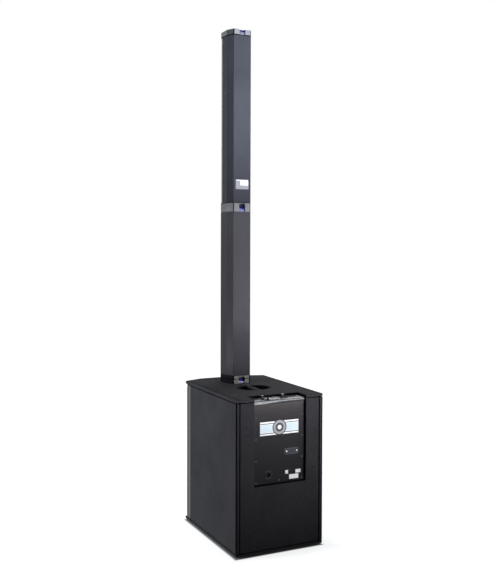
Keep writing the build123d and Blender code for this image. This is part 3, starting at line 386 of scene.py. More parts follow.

# lowest and highest place of the painted shade in the seams between the column's pieces, and how
# dark it is
CAP_JOINT_SHADE = [(SATELLITE_HIGH[2] - 0.5 * MM, SATELLITE_HIGH[2] + 4.4 * MM, 0.08),
              (SATELLITE_LOW[2] - 4.4 * MM, SATELLITE_LOW[2] + 0.5 * MM, 0.1),
              (SPACER_HIGH[2] - 0.5 * MM, SPACER_HIGH[2] + 2.4 * MM, 0.5)]
BASE_JOINT_SHADE = [(BASE_TOP - 1.5 * MM, BASE_TOP + 1.5 * MM, 0.1),
               (SPACER_LOW[2] - 2.0 * MM, SPACER_LOW[2] + 0.5 * MM, 0.3)]
# the painted shade beside the rear face of a cap: how far it reaches on the slant, and how dark it
# is
FACE_SHADE_REACH, FACE_SHADE_TONE = 1.4 * MM, 0.06
SLANT_TONE = 0.5

# depth of the fine grain on paint and plastic
GRAIN_DEPTH = 0.2 * MM


def cabinet_shadow(paint):
    """Painted shade on the cabinet's paint, as how light it is: dark in the seams, at the rear
    corners and in the notch.
    """
    x, back, height = paint.split(paint.place)
    across = paint.math("ABSOLUTE", x)
    soft = 0.2 * MM
    zones = [(paint.inside(height, low, high, soft), tone) for low, high, tone in CABINET_SEAM_SHADE]
    seam_start = REAR_PANEL_HALF - SEAM_WIDTH
    seam = paint.inside(across, seam_start, REAR_PANEL_HALF + soft, soft)
    behind_panel = paint.smooth(back, REAR - PANEL_INSET[0], REAR - PANEL_INSET[1], 1, 0)
    zones.append((paint.times(seam, behind_panel), SIDE_SEAM_SHADE))
    on_rear_edge = paint.smooth(back, REAR - SIDE_EDGE[0], REAR - SIDE_EDGE[1])
    level_with_panel = paint.inside(height, BOTTOM_PANEL_TOP, LID_LOW[2], soft)
    side_rear = paint.times(on_rear_edge, level_with_panel)
    rim = paint.inside(across, seam_start - RIM_REACH[0], REAR_PANEL_HALF + RIM_REACH[1], soft)
    zones.append((paint.times(rim, side_rear), RIM_SHADE))
    side = LID_HIGH[0]
    corner = paint.smooth(across, side - CORNER_REACH[0], side - CORNER_REACH[1])
    zones.append((paint.times(corner, side_rear), CORNER_SHADE))
    to_low_x, to_high_x, below = NOTCH_REACH
    notch = paint.inside(x, PLATE_LOW[0] - to_low_x, PLATE_HIGH[0] + to_high_x, 0.5 * MM)
    past_deck = paint.smooth(back, DECK_LOW[1] - NOTCH_START[0], DECK_LOW[1] - NOTCH_START[1])
    notch_height = paint.inside(height, PLATE_LOW[2] - below, LID_TOP - 2 * MM, 0.8 * MM)
    zones.append((paint.times(notch, past_deck, notch_height), NOTCH_SHADE))
    return paint.times(*[paint.smooth(zone, 0, 1, 1, tone) for zone, tone in zones])


# ---- materials ----
def finish(name, colour, rough, variation=0.12, grain=900, grain_strength=0.25, blotch=9,
           metallic=0.0, specular=0.5, coat=0.0, stretch=None):
    """A painted or moulded surface: colour drift, uneven gloss and a fine grain."""
    paint = Paint(name)
    drift = paint.noise(blotch, 4.0, 0.6, stretch)
    paint.give({"Base Color": paint.ramp(drift, drifting(colour, variation)),
                "Metallic": metallic, "Specular IOR Level": specular})
    if coat:
        paint.give({"Coat Weight": coat, "Coat Roughness": 0.25})
    paint.roughen(blotch * 6, rough)
    paint.bump(paint.noise(grain, 2.0, 0.5, stretch), grain_strength, GRAIN_DEPTH)
    return paint.material


def structured_paint(name, colour, rough, specular):
    """Sprayed structure paint: small rounded droplets over a darker ground, with painted shade in
    the seams, at the rear corners and in the notch.
    """
    paint = Paint(name)
    droplets = paint.cells(620, "SMOOTH_F1")
    speckle = paint.linear(paint.noise(170, 2.0), 0, 1, -0.35, 0.35)
    drift = paint.math("ADD", paint.noise(5, 5.0, 0.6), speckle)
    base = paint.ramp(drift, [(0.28, tinted(colour, 0.8)), (0.72, tinted(colour, 1.22))])
    dots = paint.ramp(droplets, [(0.1, (1, 1, 1)), (0.8, (0.45, 0.45, 0.47))])
    # painted shade: cabinet_shadow darkens the colour and the gloss in the seams, corners and notch
    paint.shade(paint.mix(0.35, base, dots, "MULTIPLY"), cabinet_shadow(paint), specular)
    paint.roughen(60, rough)
    height = paint.math("MULTIPLY_ADD", droplets, -0.7, paint.noise(1800, 2.0))
    paint.bump(height, 0.45, 0.35 * MM)
    return paint.material


def column_paint(name, colour, rough, specular, sheen, heights, slant_light, face):
    """Smooth paint of the column: colour drift, uneven gloss, and painted light and shade by height
    on the rear face and the slanting edges beside it.
    """
    paint = Paint(name)
    _, back, height = paint.split(paint.place)
    share = paint.linear(height, *heights, 0, 1)
    slant_start = COLUMN_REAR - COLUMN_SLANT + 0.5 * MM
    slant = paint.inside(back, slant_start, COLUMN_REAR - 0.7 * MM, 0.4 * MM)
    rear = paint.smooth(back, COLUMN_REAR - 0.8 * MM, COLUMN_REAR - 0.2 * MM)
    light = 1.0
    for zone, shades in ((slant, slant_light), (rear, face)):
        tone = paint.ramp(share, [(at, (part, part, part)) for at, part in shades])
        change = paint.math("SUBTRACT", paint.times(tone, SHADE_UNIT), 1)
        light = paint.math("ADD", light, paint.times(change, zone))
    paint.shade(paint.ramp(paint.noise(9, 4.0, 0.6), drifting(colour, 0.12)), light, specular)
    paint.give({"Specular Tint": (*sheen, 1)})
    paint.roughen(54, rough)
    paint.bump(paint.noise(1300, 2.0), 0.22, GRAIN_DEPTH)
    return paint.material


def graded_paint(name, low, high, shades):
    """Satin sheet paint with a painted sheen: lighter towards its upper edge, with faint level
    streaks.
    """
    paint = Paint(name)
    height = paint.split(paint.place)[2]
    share = paint.linear(height, low, high, 0, 1)
    streak = paint.linear(paint.noise(22, 4.0, 0.6, (1, 1, 16)), 0, 1, -0.12, 0.12)
    shifted = paint.math("ADD", share, paint.times(streak, share))
    paint.give({"Base Color": paint.ramp(shifted, shades), "Specular IOR Level": 0.06})
    paint.roughen(50, (0.5, 0.62))
    paint.bump(paint.noise(2200, 2.0), 0.2, GRAIN_DEPTH)
    return paint.material


def faced_plastic(name, shell, face, specular, border, joints, high=None):
    """Fine grained plastic with a face of its own colour on the rear, and painted shade beside it
    and in the seams between pieces. Above a height, given with its colour, the face is lighter."""
    paint = Paint(name)
    x, back, height = paint.split(paint.place)
    drift = paint.noise(40, 4.0, 0.6)
    shell_tone = paint.ramp(drift, drifting(shell, 0.14))
    face_tone = paint.ramp(drift, drifting(face, 0.14))
    on_face = paint.smooth(back, COLUMN_REAR - 0.9 * MM, COLUMN_REAR - 0.3 * MM)
    line = paint.inside(paint.math("ABSOLUTE", x), COLUMN_FACE_HALF - border,
                        COLUMN_FACE_HALF + FACE_SHADE_REACH, 0.5 * MM)
    light = paint.smooth(line, 0, 1, 1, FACE_SHADE_TONE)
    if high:
        level, high_face = high
        above = paint.smooth(height, level - MM, level + MM)
        face_tone = paint.mix(above, face_tone, (*high_face, 1))
        slant = paint.inside(back, COLUMN_REAR - COLUMN_SLANT, COLUMN_REAR - MM, 0.5 * MM)
        high_slant = paint.times(slant, above)
        light = paint.times(light, paint.smooth(high_slant, 0, 1, 1, SLANT_TONE))
    for low, top, tone in joints:
        joint = paint.inside(height, low, top, 0.3 * MM)
        light = paint.times(light, paint.smooth(joint, 0, 1, 1, tone))
    paint.shade(paint.mix(on_face, shell_tone, face_tone), light, specular)
    paint.give({"Specular Tint": (0.9, 0.92, 1, 1)})
    paint.roughen(240, (0.42, 0.56))
    paint.bump(paint.noise(1500, 2.0), 0.3, GRAIN_DEPTH)
    return paint.material


def handle_plastic(name, bar, cup):
    """Moulded plastic: the grip bar as light as the lid, the cup round it painted nearly black as
    shade.
    """
    paint = Paint(name)
    x, _, height = paint.split(paint.place)
    near_middle = paint.smooth(paint.math("ABSOLUTE", x), *GRIP_HALF, 1, 0)
    near_top = paint.smooth(height, HANDLE_TOP - GRIP_DEPTH[1], HANDLE_TOP - GRIP_DEPTH[0])
    drift = paint.linear(paint.noise(9, 4.0, 0.6), 0, 1, -0.1, 0.1)
    on_bar = paint.math("ADD", paint.times(near_middle, near_top), drift)
    paint.give({"Base Color": paint.ramp(on_bar, [(0.1, cup), (0.95, bar)]),
                "Specular IOR Level": paint.smooth(on_bar, 0, 1, 0.01, 0.05)})
    paint.roughen(54, (0.7, 0.84))
    paint.bump(paint.noise(1500, 2.0), 0.25, GRAIN_DEPTH)
    return paint.material


def lock_plastic(name):
    """Blue plastic with painted light: a pale painted highlight where it slopes out at the bottom,
    navy painted shade towards the top and one side.
    """
    paint = Paint(name)
    across, _, up = paint.split(paint.node("TexCoord", {}).outputs["Generated"])
    share = paint.math("ADD", up, paint.times(across, LOCK_SHADE_LEAN))
    height = paint.split(paint.place)[2]
    highest = paint.smooth(height, SATELLITE_HIGH[2] - 10 * MM, SATELLITE_HIGH[2])
    colours = [paint.ramp(share, shades) for shades in (LOCK_LIGHT_AND_SHADE, HIGH_LOCK_LIGHT_AND_SHADE)]
    paint.give({"Base Color": paint.mix(highest, *colours),
                "Specular IOR Level": paint.smooth(share, 0.2, 0.45, 0.2, 0.03)})
    paint.roughen(240, (0.32, 0.44))
    paint.bump(paint.noise(1500, 2.0), 0.2, GRAIN_DEPTH)
    return paint.material


def plywood(name):
    """Birch plywood with long grain lines, stained dark."""
    paint = Paint(name)
    lines = paint.noise(60, 6.0, 0.65, (1.0, 1.0, 0.06))
    stops = [(0.25, (0.05, 0.04, 0.032)), (0.75, (0.13, 0.1, 0.075))]
    paint.give({"Base Color": paint.ramp(lines, stops),
                "Roughness": paint.linear(lines, 0, 1, 0.55, 0.75)})
    paint.bump(lines, 0.3, 0.3 * MM)
    return paint.material


def woven(name, colour):
    """Open foam or treated cloth."""
    paint = Paint(name)
    cells = paint.cells(900)
    stops = [(0.1, tinted(colour, 0.4)), (0.7, tinted(colour, 1.3))]
    paint.give({"Base Color": paint.ramp(cells, stops), "Roughness": 0.95})
    paint.bump(cells, 0.8, 0.6 * MM)
    return paint.material


PRINT = {"grain": 2500, "specular": 0.2}
FINISHES = {
    "foot_rubber": ((0.022, 0.022, 0.023), (0.7, 0.85), {"grain": 700}),
    "grille_steel": ((0.024, 0.024, 0.026), (0.38, 0.52), {"grain": 1400, "grain_strength": 0.35}),
    "black_screws": ((0.055, 0.055, 0.058), (0.3, 0.42), {"metallic": 0.85, "grain": 2500}),
    "port_plastic": ((0.02, 0.02, 0.021), (0.45, 0.6), {"grain": 1500}),
    "basket_alloy": ((0.035, 0.035, 0.038), (0.4, 0.55), {"metallic": 0.2}),
    "magnet_steel": ((0.07, 0.07, 0.075), (0.45, 0.6), {"metallic": 0.5}),
    "cone_paper": ((0.02, 0.02, 0.021), (0.75, 0.9), {"grain": 500, "grain_strength": 0.5}),
    "coil_copper": ((0.55, 0.26, 0.12), (0.25, 0.35), {"metallic": 1.0, "stretch": (1, 40, 1)}),
    "surround_rubber": ((0.016, 0.016, 0.017), (0.5, 0.65), {}),
    "deck_paint": ((0.0105, 0.0115, 0.015), (0.4, 0.52),
                   {"grain": 2200, "grain_strength": 0.15, "specular": 0.15}),
    "socket_plastic": ((0.008, 0.008, 0.009), (0.4, 0.55), {"grain": 1800, "specular": 0.25}),
    "knob_plastic": ((0.006, 0.006, 0.007), (0.4, 0.55), {"grain": 1800, "specular": 0.2}),
    "light_lens": ((0.25, 0.6, 0.3), (0.12, 0.2), {"coat": 0.5}),
    "board_green": ((0.01, 0.09, 0.035), (0.3, 0.45), {"grain": 300}),
    "sink_aluminium": ((0.6, 0.61, 0.63), (0.3, 0.42),
                       {"metallic": 1.0, "stretch": (1, 1, 0.05), "grain": 600}),
    "transformer_wrap": ((0.55, 0.48, 0.1), (0.35, 0.45), {"coat": 0.3}),
    "contact_metal": ((0.72, 0.55, 0.26), (0.2, 0.3), {"metallic": 1.0}),
    "plug_plastic": ((0.004, 0.004, 0.02), (0.4, 0.52), {"grain": 1500, "specular": 0.15}),
    "print_white": ((0.92, 0.93, 0.95), (0.45, 0.6), {**PRINT, "variation": 0.04, "specular": 0.3}),
    "plate_white": ((0.95, 0.96, 0.97), (0.35, 0.5), {"variation": 0.03, "grain": 2500}),
    "plate_pale": ((0.68, 0.8, 0.86), (0.35, 0.5), {"variation": 0.04, "grain": 2500}),
    "plate_edge": ((0.025, 0.03, 0.035), (0.4, 0.5), {**PRINT, "variation": 0.05}),
    "plate_grey": ((0.37, 0.38, 0.4), (0.4, 0.5), {**PRINT, "variation": 0.08}),
    "cover_blue": ((0.03, 0.034, 0.044), (0.4, 0.5), {**PRINT, "variation": 0.2, "blotch": 80}),
    "cover_rim": ((0.075, 0.08, 0.095), (0.4, 0.5), {**PRINT, "variation": 0.2, "blotch": 80}),
    "label_white": ((0.57, 0.58, 0.59), (0.4, 0.5), {**PRINT, "variation": 0.04}),
    "label_grey": ((0.15, 0.156, 0.175), (0.4, 0.5), {**PRINT, "variation": 0.1, "blotch": 90}),
    "lip_grey": ((0.27, 0.275, 0.29), (0.4, 0.5), {**PRINT, "variation": 0.25, "blotch": 60}),
}
# name: the function that makes it, and its values
OTHER_MATERIALS = {
    "cabinet_paint": (structured_paint, {
        "colour": (0.0353, 0.0358, 0.0405), "rough": (0.74, 0.88), "specular": 0.05}),
    "raw_birch": (plywood, {}),
    # the cup's nearly black colour is painted shade
    "handle_plastic": (handle_plastic, {
        "bar": (0.034, 0.0345, 0.038), "cup": (0.004, 0.004, 0.005)}),
    "grille_foam": (woven, {"colour": (0.02, 0.02, 0.022)}),
    "spider_cloth": (woven, {"colour": (0.3, 0.22, 0.09)}),
    "amp_plate_paint": (graded_paint, {
        "low": PLATE_LOW[2], "high": PLATE_HIGH[2], "shades": PLATE_PAINTED_SHEEN}),
    "cap_plastic": (faced_plastic, {
        "shell": (0.05, 0.051, 0.055), "face": (0.075, 0.076, 0.084), "specular": 0.2,
        "border": 2.6 * MM, "joints": CAP_JOINT_SHADE,
        "high": (SATELLITE_HIGH[2] - 3 * MM, (0.24, 0.247, 0.283))}),
    "base_plastic": (faced_plastic, {
        "shell": (0.004, 0.004, 0.006), "face": (0.09, 0.09, 0.08), "specular": 0.02,
        "border": 5 * MM, "joints": BASE_JOINT_SHADE}),
    "lock_blue": (lock_plastic, {}),
    "spacer_paint": (column_paint, {
        "colour": (0.0142, 0.0142, 0.0168), "rough": (0.36, 0.44), "specular": 0.057,
        "sheen": (0.9, 0.89, 1), "heights": (SPACER_LOW[2], SPACER_HIGH[2]),
        "slant_light": SPACER_SLANT_LIGHT, "face": SPACER_FACE_LIGHT}),
    "satellite_paint": (column_paint, {
        "colour": (0.0122, 0.0132, 0.0172), "rough": (0.37, 0.45), "specular": 0.051,
        "sheen": (0.78, 0.82, 1), "heights": (SATELLITE_LOW[2], SATELLITE_HIGH[2]),
        "slant_light": SATELLITE_SLANT_LIGHT, "face": SATELLITE_FACE_LIGHT}),
}
MATERIALS = {}


def make_materials():
    """Every material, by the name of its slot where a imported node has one."""
    for name, (colour, rough, rest) in FINISHES.items():
        MATERIALS[name] = finish(name, colour, rough, **rest)
    for name, (make, values) in OTHER_MATERIALS.items():
        MATERIALS[name] = make(name, **values)


def dress_cad_nodes():
    """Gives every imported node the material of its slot."""
    slots = {entry["node"]: entry["material_slot"] for entry in frame["record"]["subparts"]}
    for node, obj in frame["nodes"].items():
        material = MATERIALS[slots[node]]
        for slot in obj.material_slots:
            slot.material = material
        if not obj.material_slots:
            obj.data.materials.append(material)


# ---- mesh helpers ----
def add_piece(name, mesh_builder, material, body, slot, bevel=0.0):
    """Makes an object from a bmesh, with its material and body; slot is not used."""
    mesh = bpy.data.meshes.new(name)
    mesh_builder.normal_update()
    mesh_builder.to_mesh(mesh)
    mesh_builder.free()
    obj = bpy.data.objects.new(name, mesh)
    bpy.context.scene.collection.objects.link(obj)
    mesh.materials.append(MATERIALS[material])
    if bevel:
        modifier = obj.modifiers.new("edge", "BEVEL")
        modifier.width = bevel
        modifier.segments = 2
        modifier.limit_method = "ANGLE"
    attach(obj, body)
    return obj


def raised(point, level, axis):
    """A point (a, b) of an outline, raised to a level along an axis."""
    a, b = point
    return {"X": (level, a, b), "Y": (a, level, b), "Z": (a, b, level)}[axis]


def add_prism(bm, outline, low, high, axis="Z"):
    """Raises a closed outline of (a, b) points between two levels along an axis."""
    bottom, upper = [[bm.verts.new(raised(point, level, axis)) for point in outline]
                     for level in (low, high)]
    faces = [bm.faces.new(bottom), bm.faces.new(upper)]
    for i in range(len(outline)):
        j = (i + 1) % len(outline)
        faces.append(bm.faces.new((bottom[i], bottom[j], upper[j], upper[i])))
    bmesh.ops.recalc_face_normals(bm, faces=faces)


def add_ring(bm, outer, inner, low, high, axis):
    """A closed band between two outlines with as many points, raised along an axis."""
    rings = [[bm.verts.new(raised(point, level, axis)) for point in outline]
             for outline in (outer, inner) for level in (low, high)]
    outer_low, outer_high, inner_low, inner_high = rings
    faces = []
    for i in range(len(outer)):
        j = (i + 1) % len(outer)
        faces.append(bm.faces.new((outer_low[i], outer_low[j], outer_high[j], outer_high[i])))
        faces.append(bm.faces.new((inner_low[j], inner_low[i], inner_high[i], inner_high[j])))
        faces.append(bm.faces.new((outer_high[i], outer_high[j], inner_high[j], inner_high[i])))
        faces.append(bm.faces.new((outer_low[j], outer_low[i], inner_low[i], inner_low[j])))
    bmesh.ops.recalc_face_normals(bm, faces=faces)


def rounded_rectangle(x0, x1, z0, z1, radius):
    """The outline of a rectangle with rounded corners."""
    corner_steps = 5
    points = []
    centres = [(x1 - radius, z1 - radius, 0), (x0 + radius, z1 - radius, 90),
               (x0 + radius, z0 + radius, 180), (x1 - radius, z0 + radius, 270)]
    for cx, cz, start in centres:
        for step in range(corner_steps + 1):
            angle = math.radians(start + 90 * step / corner_steps)
            points.append((cx + radius * math.cos(angle), cz + radius * math.sin(angle)))
    return points


def circle(cx, cz, radius, count):
    """The outline of a circle, as a polygon with many sides."""
    angles = [2 * math.pi * i / count for i in range(count)]
    return [(cx + radius * math.cos(angle), cz + radius * math.sin(angle)) for angle in angles]


# ---- perforated grilles ----
SHEET = 1.5 * MM
# the perforated field lies this far inside both faces of the plain borders
FIELD_INSET = 0.1 * MM
# steps along the path of a plain strip at a side, and of one at the top or bottom
FLANGE_STEPS, BORDER_STEPS = 8, 48
# share of the pitch by which the plain strips cover the field's edge
OVERLAP_SHARE = 0.55
# the front grille: where its sides fold in, half its flat middle, and its inner radii
SUB_FOLD = REAR - 0.524
SUB_FLAT_HALF = 0.115
SUB_SIDE_RADIUS, SUB_FRONT_RADIUS = 8 * MM, 57.5 * MM
COLUMN_GRILLE_RADIUS = 5 * MM


def rounded_path(points, radii):
    """An open path through points, with its inner corners rounded."""
    corner_steps = 6
    path = [Vector(points[0])]
    for before, corner, after, radius in zip(points, points[1:], points[2:], radii):
        before, corner, after = Vector(before), Vector(corner), Vector(after)
        back, ahead = (before - corner).normalized(), (after - corner).normalized()
        half = back.angle(ahead) / 2
        reach = radius / math.tan(half)
        centre = corner + (back + ahead).normalized() * radius / math.sin(half)
        start, end = corner + back * reach - centre, corner + ahead * reach - centre
        sweep = start.angle_signed(end)
        for step in range(corner_steps + 1):
            turn = Matrix.Rotation(-sweep * step / corner_steps, 2)
            path.append(centre + turn @ start)
    path.append(Vector(points[-1]))
    return path


def along(path):
    """The length of a path, and a function that gives the point and outward normal along it."""
    lengths = [0.0]
    for a, b in zip(path, path[1:]):
        lengths.append(lengths[-1] + (b - a).length)

    def at(distance):
        distance = min(max(distance, 0.0), lengths[-1])
        for index in range(len(path) - 1):
            if distance <= lengths[index + 1] or index == len(path) - 2:
                run = lengths[index + 1] - lengths[index]
                share = (distance - lengths[index]) / run if run else 0.0
                direction = (path[index + 1] - path[index]).normalized()
                point = path[index].lerp(path[index + 1], share)
                return point, Vector((direction.y, -direction.x))
    return lengths[-1], at


def perforated_sheet(bm, path, z_low, z_high, pitch, hole, thickness, side_margin, end_margin):
    """Hexagonal openings over a folded sheet, closed at the front, back and in each hole."""
    total, at = along(path)
    row_step = pitch * math.sqrt(3) / 2
    cell = pitch / math.sqrt(3)
    angles = [math.radians(30 + 60 * corner) for corner in range(6)]
    found = {}

    def vert(s, z, depth):
        key = (round(s, 6), round(z, 6), depth)
        if key not in found:
            point, normal = at(s)
            inward = point - normal * (thickness if depth else 0.0)
            found[key] = bm.verts.new((inward.x, inward.y, z))
        return found[key]

    rows = int((z_high - z_low - 2 * end_margin) / row_step)
    columns = int((total - 2 * side_margin) / pitch)
    s_start = (total - columns * pitch) / 2 + pitch / 4
    z_start = (z_low + z_high - (rows - 1) * row_step) / 2
    for row in range(rows):
        for column in range(columns):
            s = s_start + column * pitch + (pitch / 2 if row % 2 else 0.0)
            z = z_start + row * row_step
            outer = [(s + cell * math.cos(a), z + cell * math.sin(a)) for a in angles]
            inner = [(s + hole * math.cos(a), z + hole * math.sin(a)) for a in angles]
            for i in range(6):
                j = (i + 1) % 6
                around = (outer[i], outer[j], inner[j], inner[i])
                for depth in (0, 1):
                    quad = [vert(*corner, depth) for corner in around]
                    bm.faces.new(quad if depth else quad[::-1])
                bm.faces.new((vert(*inner[i], 0), vert(*inner[j], 0),
                              vert(*inner[j], 1), vert(*inner[i], 1)))


def strip(bm, path, s_low, s_high, z_low, z_high, steps):
    """A plain closed band of the folded sheet between two lengths and two heights."""
    _, at = along(path)
    corners = []
    for step in range(steps + 1):
        s = s_low + (s_high - s_low) * step / steps
        point, normal = at(s)
        both = (point, point - normal * SHEET)
        corners.append([bm.verts.new((p.x, p.y, z)) for p in both for z in (z_low, z_high)])
    faces = []
    for a, b in zip(corners, corners[1:]):
        faces.append(bm.faces.new((a[0], a[1], b[1], b[0])))
        faces.append(bm.faces.new((a[2], b[2], b[3], a[3])))
        faces.append(bm.faces.new((a[1], a[3], b[3], b[1])))
        faces.append(bm.faces.new((a[0], b[0], b[2], a[2])))
    for end in (corners[0], corners[-1]):
        faces.append(bm.faces.new((end[0], end[1], end[3], end[2])))
    bmesh.ops.recalc_face_normals(bm, faces=faces)


def folded_grille(name, node, body, path, low, high, pitch, hole, flange, border):
    """A perforated steel sheet with plain flanges at its sides and plain borders."""
    bm = bmesh.new()
    total, _ = along(path)
    perforated_sheet(bm, path, low, high, pitch, hole, SHEET - 2 * FIELD_INSET, flange, border)
    bmesh.ops.translate(bm, verts=bm.verts, vec=(0, FIELD_INSET, 0))
    overlap = pitch * OVERLAP_SHARE
    strip(bm, path, 0, flange + overlap, low, high, FLANGE_STEPS)
    strip(bm, path, total - flange - overlap, total, low, high, FLANGE_STEPS)
    strip(bm, path, flange, total - flange, low, low + border + overlap, BORDER_STEPS)
    strip(bm, path, flange, total - flange, high - border - overlap, high, BORDER_STEPS)
    piece = add_piece(name, bm, "grille_steel", body, "grille_steel")
    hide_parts(node)


def add_sub_grille():
    """The front grille: sides, two long bends and a flat middle."""
    side, back, front = GRILLE_HIGH[0], GRILLE_HIGH[1], GRILLE_LOW[1]
    points = [(side, back), (side, SUB_FOLD), (SUB_FLAT_HALF, front),
              (-SUB_FLAT_HALF, front), (-side, SUB_FOLD), (-side, back)]
    radii = (SUB_SIDE_RADIUS, SUB_FRONT_RADIUS, SUB_FRONT_RADIUS, SUB_SIDE_RADIUS)
    folded_grille("sub_grille_perforated", "sub_grille", "cabinet", rounded_path(points, radii),
                  GRILLE_LOW[2], GRILLE_HIGH[2], pitch=7.6 * MM, hole=2.9 * MM, flange=16 * MM,
                  border=9 * MM)


def add_column_grille():
    """The satellite's grille: a channel with two bends."""
    side, back, front = COLUMN_GRILLE_HIGH[0], COLUMN_GRILLE_HIGH[1], COLUMN_GRILLE_LOW[1]
    points = [(side, back), (side, front), (-side, front), (-side, back)]
    path = rounded_path(points, (COLUMN_GRILLE_RADIUS, COLUMN_GRILLE_RADIUS))
    folded_grille("satellite_grille_perforated", "satellite_grille", "satellite", path,
                  COLUMN_GRILLE_LOW[2], COLUMN_GRILLE_HIGH[2], pitch=5.2 * MM, hole=1.95 * MM,
                  flange=11 * MM, border=8 * MM)


# ---- plates, labels and print ----
# body and slot of what lies on the amplifier plate, the deck and the satellite
ON_PLATE = ("cabinet", "amp_plate_paint")
ON_DECK = ("cabinet", "deck_paint")
ON_SATELLITE = ("satellite", "satellite_paint")
PRINT_THICK = 0.12 * MM

# x0, x1 and z0, z1 of the satellite's label, the last two from its own height
LABEL_HEIGHT = 1.519
LABEL_GROUND = (-0.031, 0.031, -0.021, 0.021)
LABEL_FIELD = (-0.029, 0.009, -0.004, 0.015)
LABEL_EDGE = (-0.029, 0.029, 0.0165, 0.0195)
LABEL_THICK = 0.25 * MM

# x0, x1, z0, z1 on the amplifier plate
BANNER = (-0.0894, 0.0872, 0.4803, 0.5353)
COVER_PLATE = (-0.0883, -0.0251, 0.3945, 0.4195)
STICKERS = [(-0.0415, -0.0281, 0.3142, 0.3283), (-0.1004, -0.0763, 0.3138, 0.3278),
            (-0.09, -0.047, 0.2913, 0.3098)]
# lowest places of the banner's two dark lines, and their width
BANNER_LINES = (0.4863, 0.5259)
BANNER_LINE_WIDTH = 2.8 * MM
BANNER_THICK, BANNER_PRINT_THICK, BOSS_THICK = 0.5 * MM, 0.15 * MM, 0.35 * MM
BOSS_CENTRE = (-0.001, 0.5096)
# material, outer and inner radius in millimetres
BOSS_RINGS = [("plate_edge", 32, 28.5), ("plate_grey", 28.5, 18.5), ("cover_rim", 18.5, 9),
              ("plate_white", 9, 0)]
COVER_THICK, COVER_RADIUS, COVER_RIM_WIDTH = 0.8 * MM, 5 * MM, 1.6 * MM
COVER_SCREW_RADIUS = 2.8 * MM

KNOBS = ("level_knob_1", "level_knob_2")
# marks round a knob: angles in degrees, radii and widths
MARK_START, MARK_SWEEP, MARKS = -60, 300, 11
MARK_INNER, MARK_OUTER, MARK_WIDTH = 9.2 * MM, 11.4 * MM, 0.9 * MM
ARC_RADIUS, ARC_WIDTH, ARC_STEP = 13.2 * MM, 1.2 * MM, 20
# x0, x1, y0, y1 of the white fields printed between the deck's controls, in millimetres
DECK_FIELDS = [
    (66, 112, 265.5, 275.5), (77, 112, 253.5, 264.8), (14.5, 49, 217, 250), (14.5, 36.5, 251, 264),
    (-26.5, 9.5, 216, 232.5), (-26.5, 14, 238.5, 251.5), (-7.5, 14, 252.5, 264),
    (66.8, 74, 217, 250), (-112, 2, 265.5, 275.5), (-112, -48, 253, 264.8),
    (-112, -102.5, 217, 252),
]
KNOB_CAP_RADIUS = 4.2 * MM

# height of the satellite's side inserts, their place in depth, and their radii
INSERT_HEIGHT = 1.925
INSERT_DEPTH = COLUMN_REAR - 56.5 * MM
INSERT_OUTER, INSERT_INNER = 4.0 * MM, 1.8 * MM


def flat_plate(name, material, home, corners, surface, thickness, radius):
    """A thin rounded plate on a face that looks to +Y; home is its body and slot."""
    bm = bmesh.new()
    add_prism(bm, rounded_rectangle(*corners, radius), surface, surface + thickness, "Y")
    add_piece(name, bm, material, *home)


def flat_disc(name, material, home, centre, outer, inner, surface, thickness):
    """A thin round plate or ring on a face that looks to +Y; home is its body and slot."""
    sides = 48
    bm = bmesh.new()
    if inner:
        outlines = circle(*centre, outer, sides), circle(*centre, inner, sides)
        add_ring(bm, *outlines, surface, surface + thickness, "Y")
    else:
        add_prism(bm, circle(*centre, outer, sides), surface, surface + thickness, "Y")
    add_piece(name, bm, material, *home)


def add_satellite_label():
    """A label on the satellite's rear, above the joint: a grey ground with a blank white field."""
    def place(x0, x1, z0, z1):
        return x0, x1, LABEL_HEIGHT + z0, LABEL_HEIGHT + z1
    flat_plate("satellite_label", "label_grey", ON_SATELLITE, place(*LABEL_GROUND), COLUMN_REAR,
               LABEL_THICK, radius=2 * MM)
    for name, corners in (("field", LABEL_FIELD), ("edge", LABEL_EDGE)):
        flat_plate(f"satellite_label_{name}", "label_white", ON_SATELLITE, place(*corners),
                   COLUMN_REAR + LABEL_THICK, thickness=0.1 * MM, radius=MM)


def add_banner():
    """A plain striped plate across the amplifier plate, with a plain round boss."""
    x0, x1, z0, z1 = BANNER
    ground = PLATE_HIGH[1]
    face = ground + BANNER_THICK
    flat_plate("banner_ground", "plate_white", ON_PLATE, BANNER, ground, BANNER_THICK,
               radius=0.6 * MM)
    for index, z in enumerate(BANNER_LINES):
        line = (x0 + 0.2 * MM, x1 - 0.2 * MM, z, z + BANNER_LINE_WIDTH)
        flat_plate(f"banner_line_{index}", "plate_edge", ON_PLATE, line, face, BANNER_PRINT_THICK,
                   radius=0.4 * MM)
    field = (x0 + 1.5 * MM, x1 - 1.5 * MM, z0 + 10.5 * MM, z1 - 11.5 * MM)
    flat_plate("banner_field", "plate_pale", ON_PLATE, field, face, BANNER_PRINT_THICK,
               radius=0.6 * MM)
    for index, (material, outer, inner) in enumerate(BOSS_RINGS):
        flat_disc(f"banner_boss_{index}", material, ON_PLATE, BOSS_CENTRE, outer * MM, inner * MM,
                  face + BANNER_PRINT_THICK, BOSS_THICK)


def add_stickers():
    """Three blank white stickers near the power inlet."""
    for index, corners in enumerate(STICKERS):
        flat_plate(f"sticker_{index}", "plate_white", ON_PLATE, corners, PLATE_HIGH[1],
                   thickness=0.2 * MM, radius=0.8 * MM)


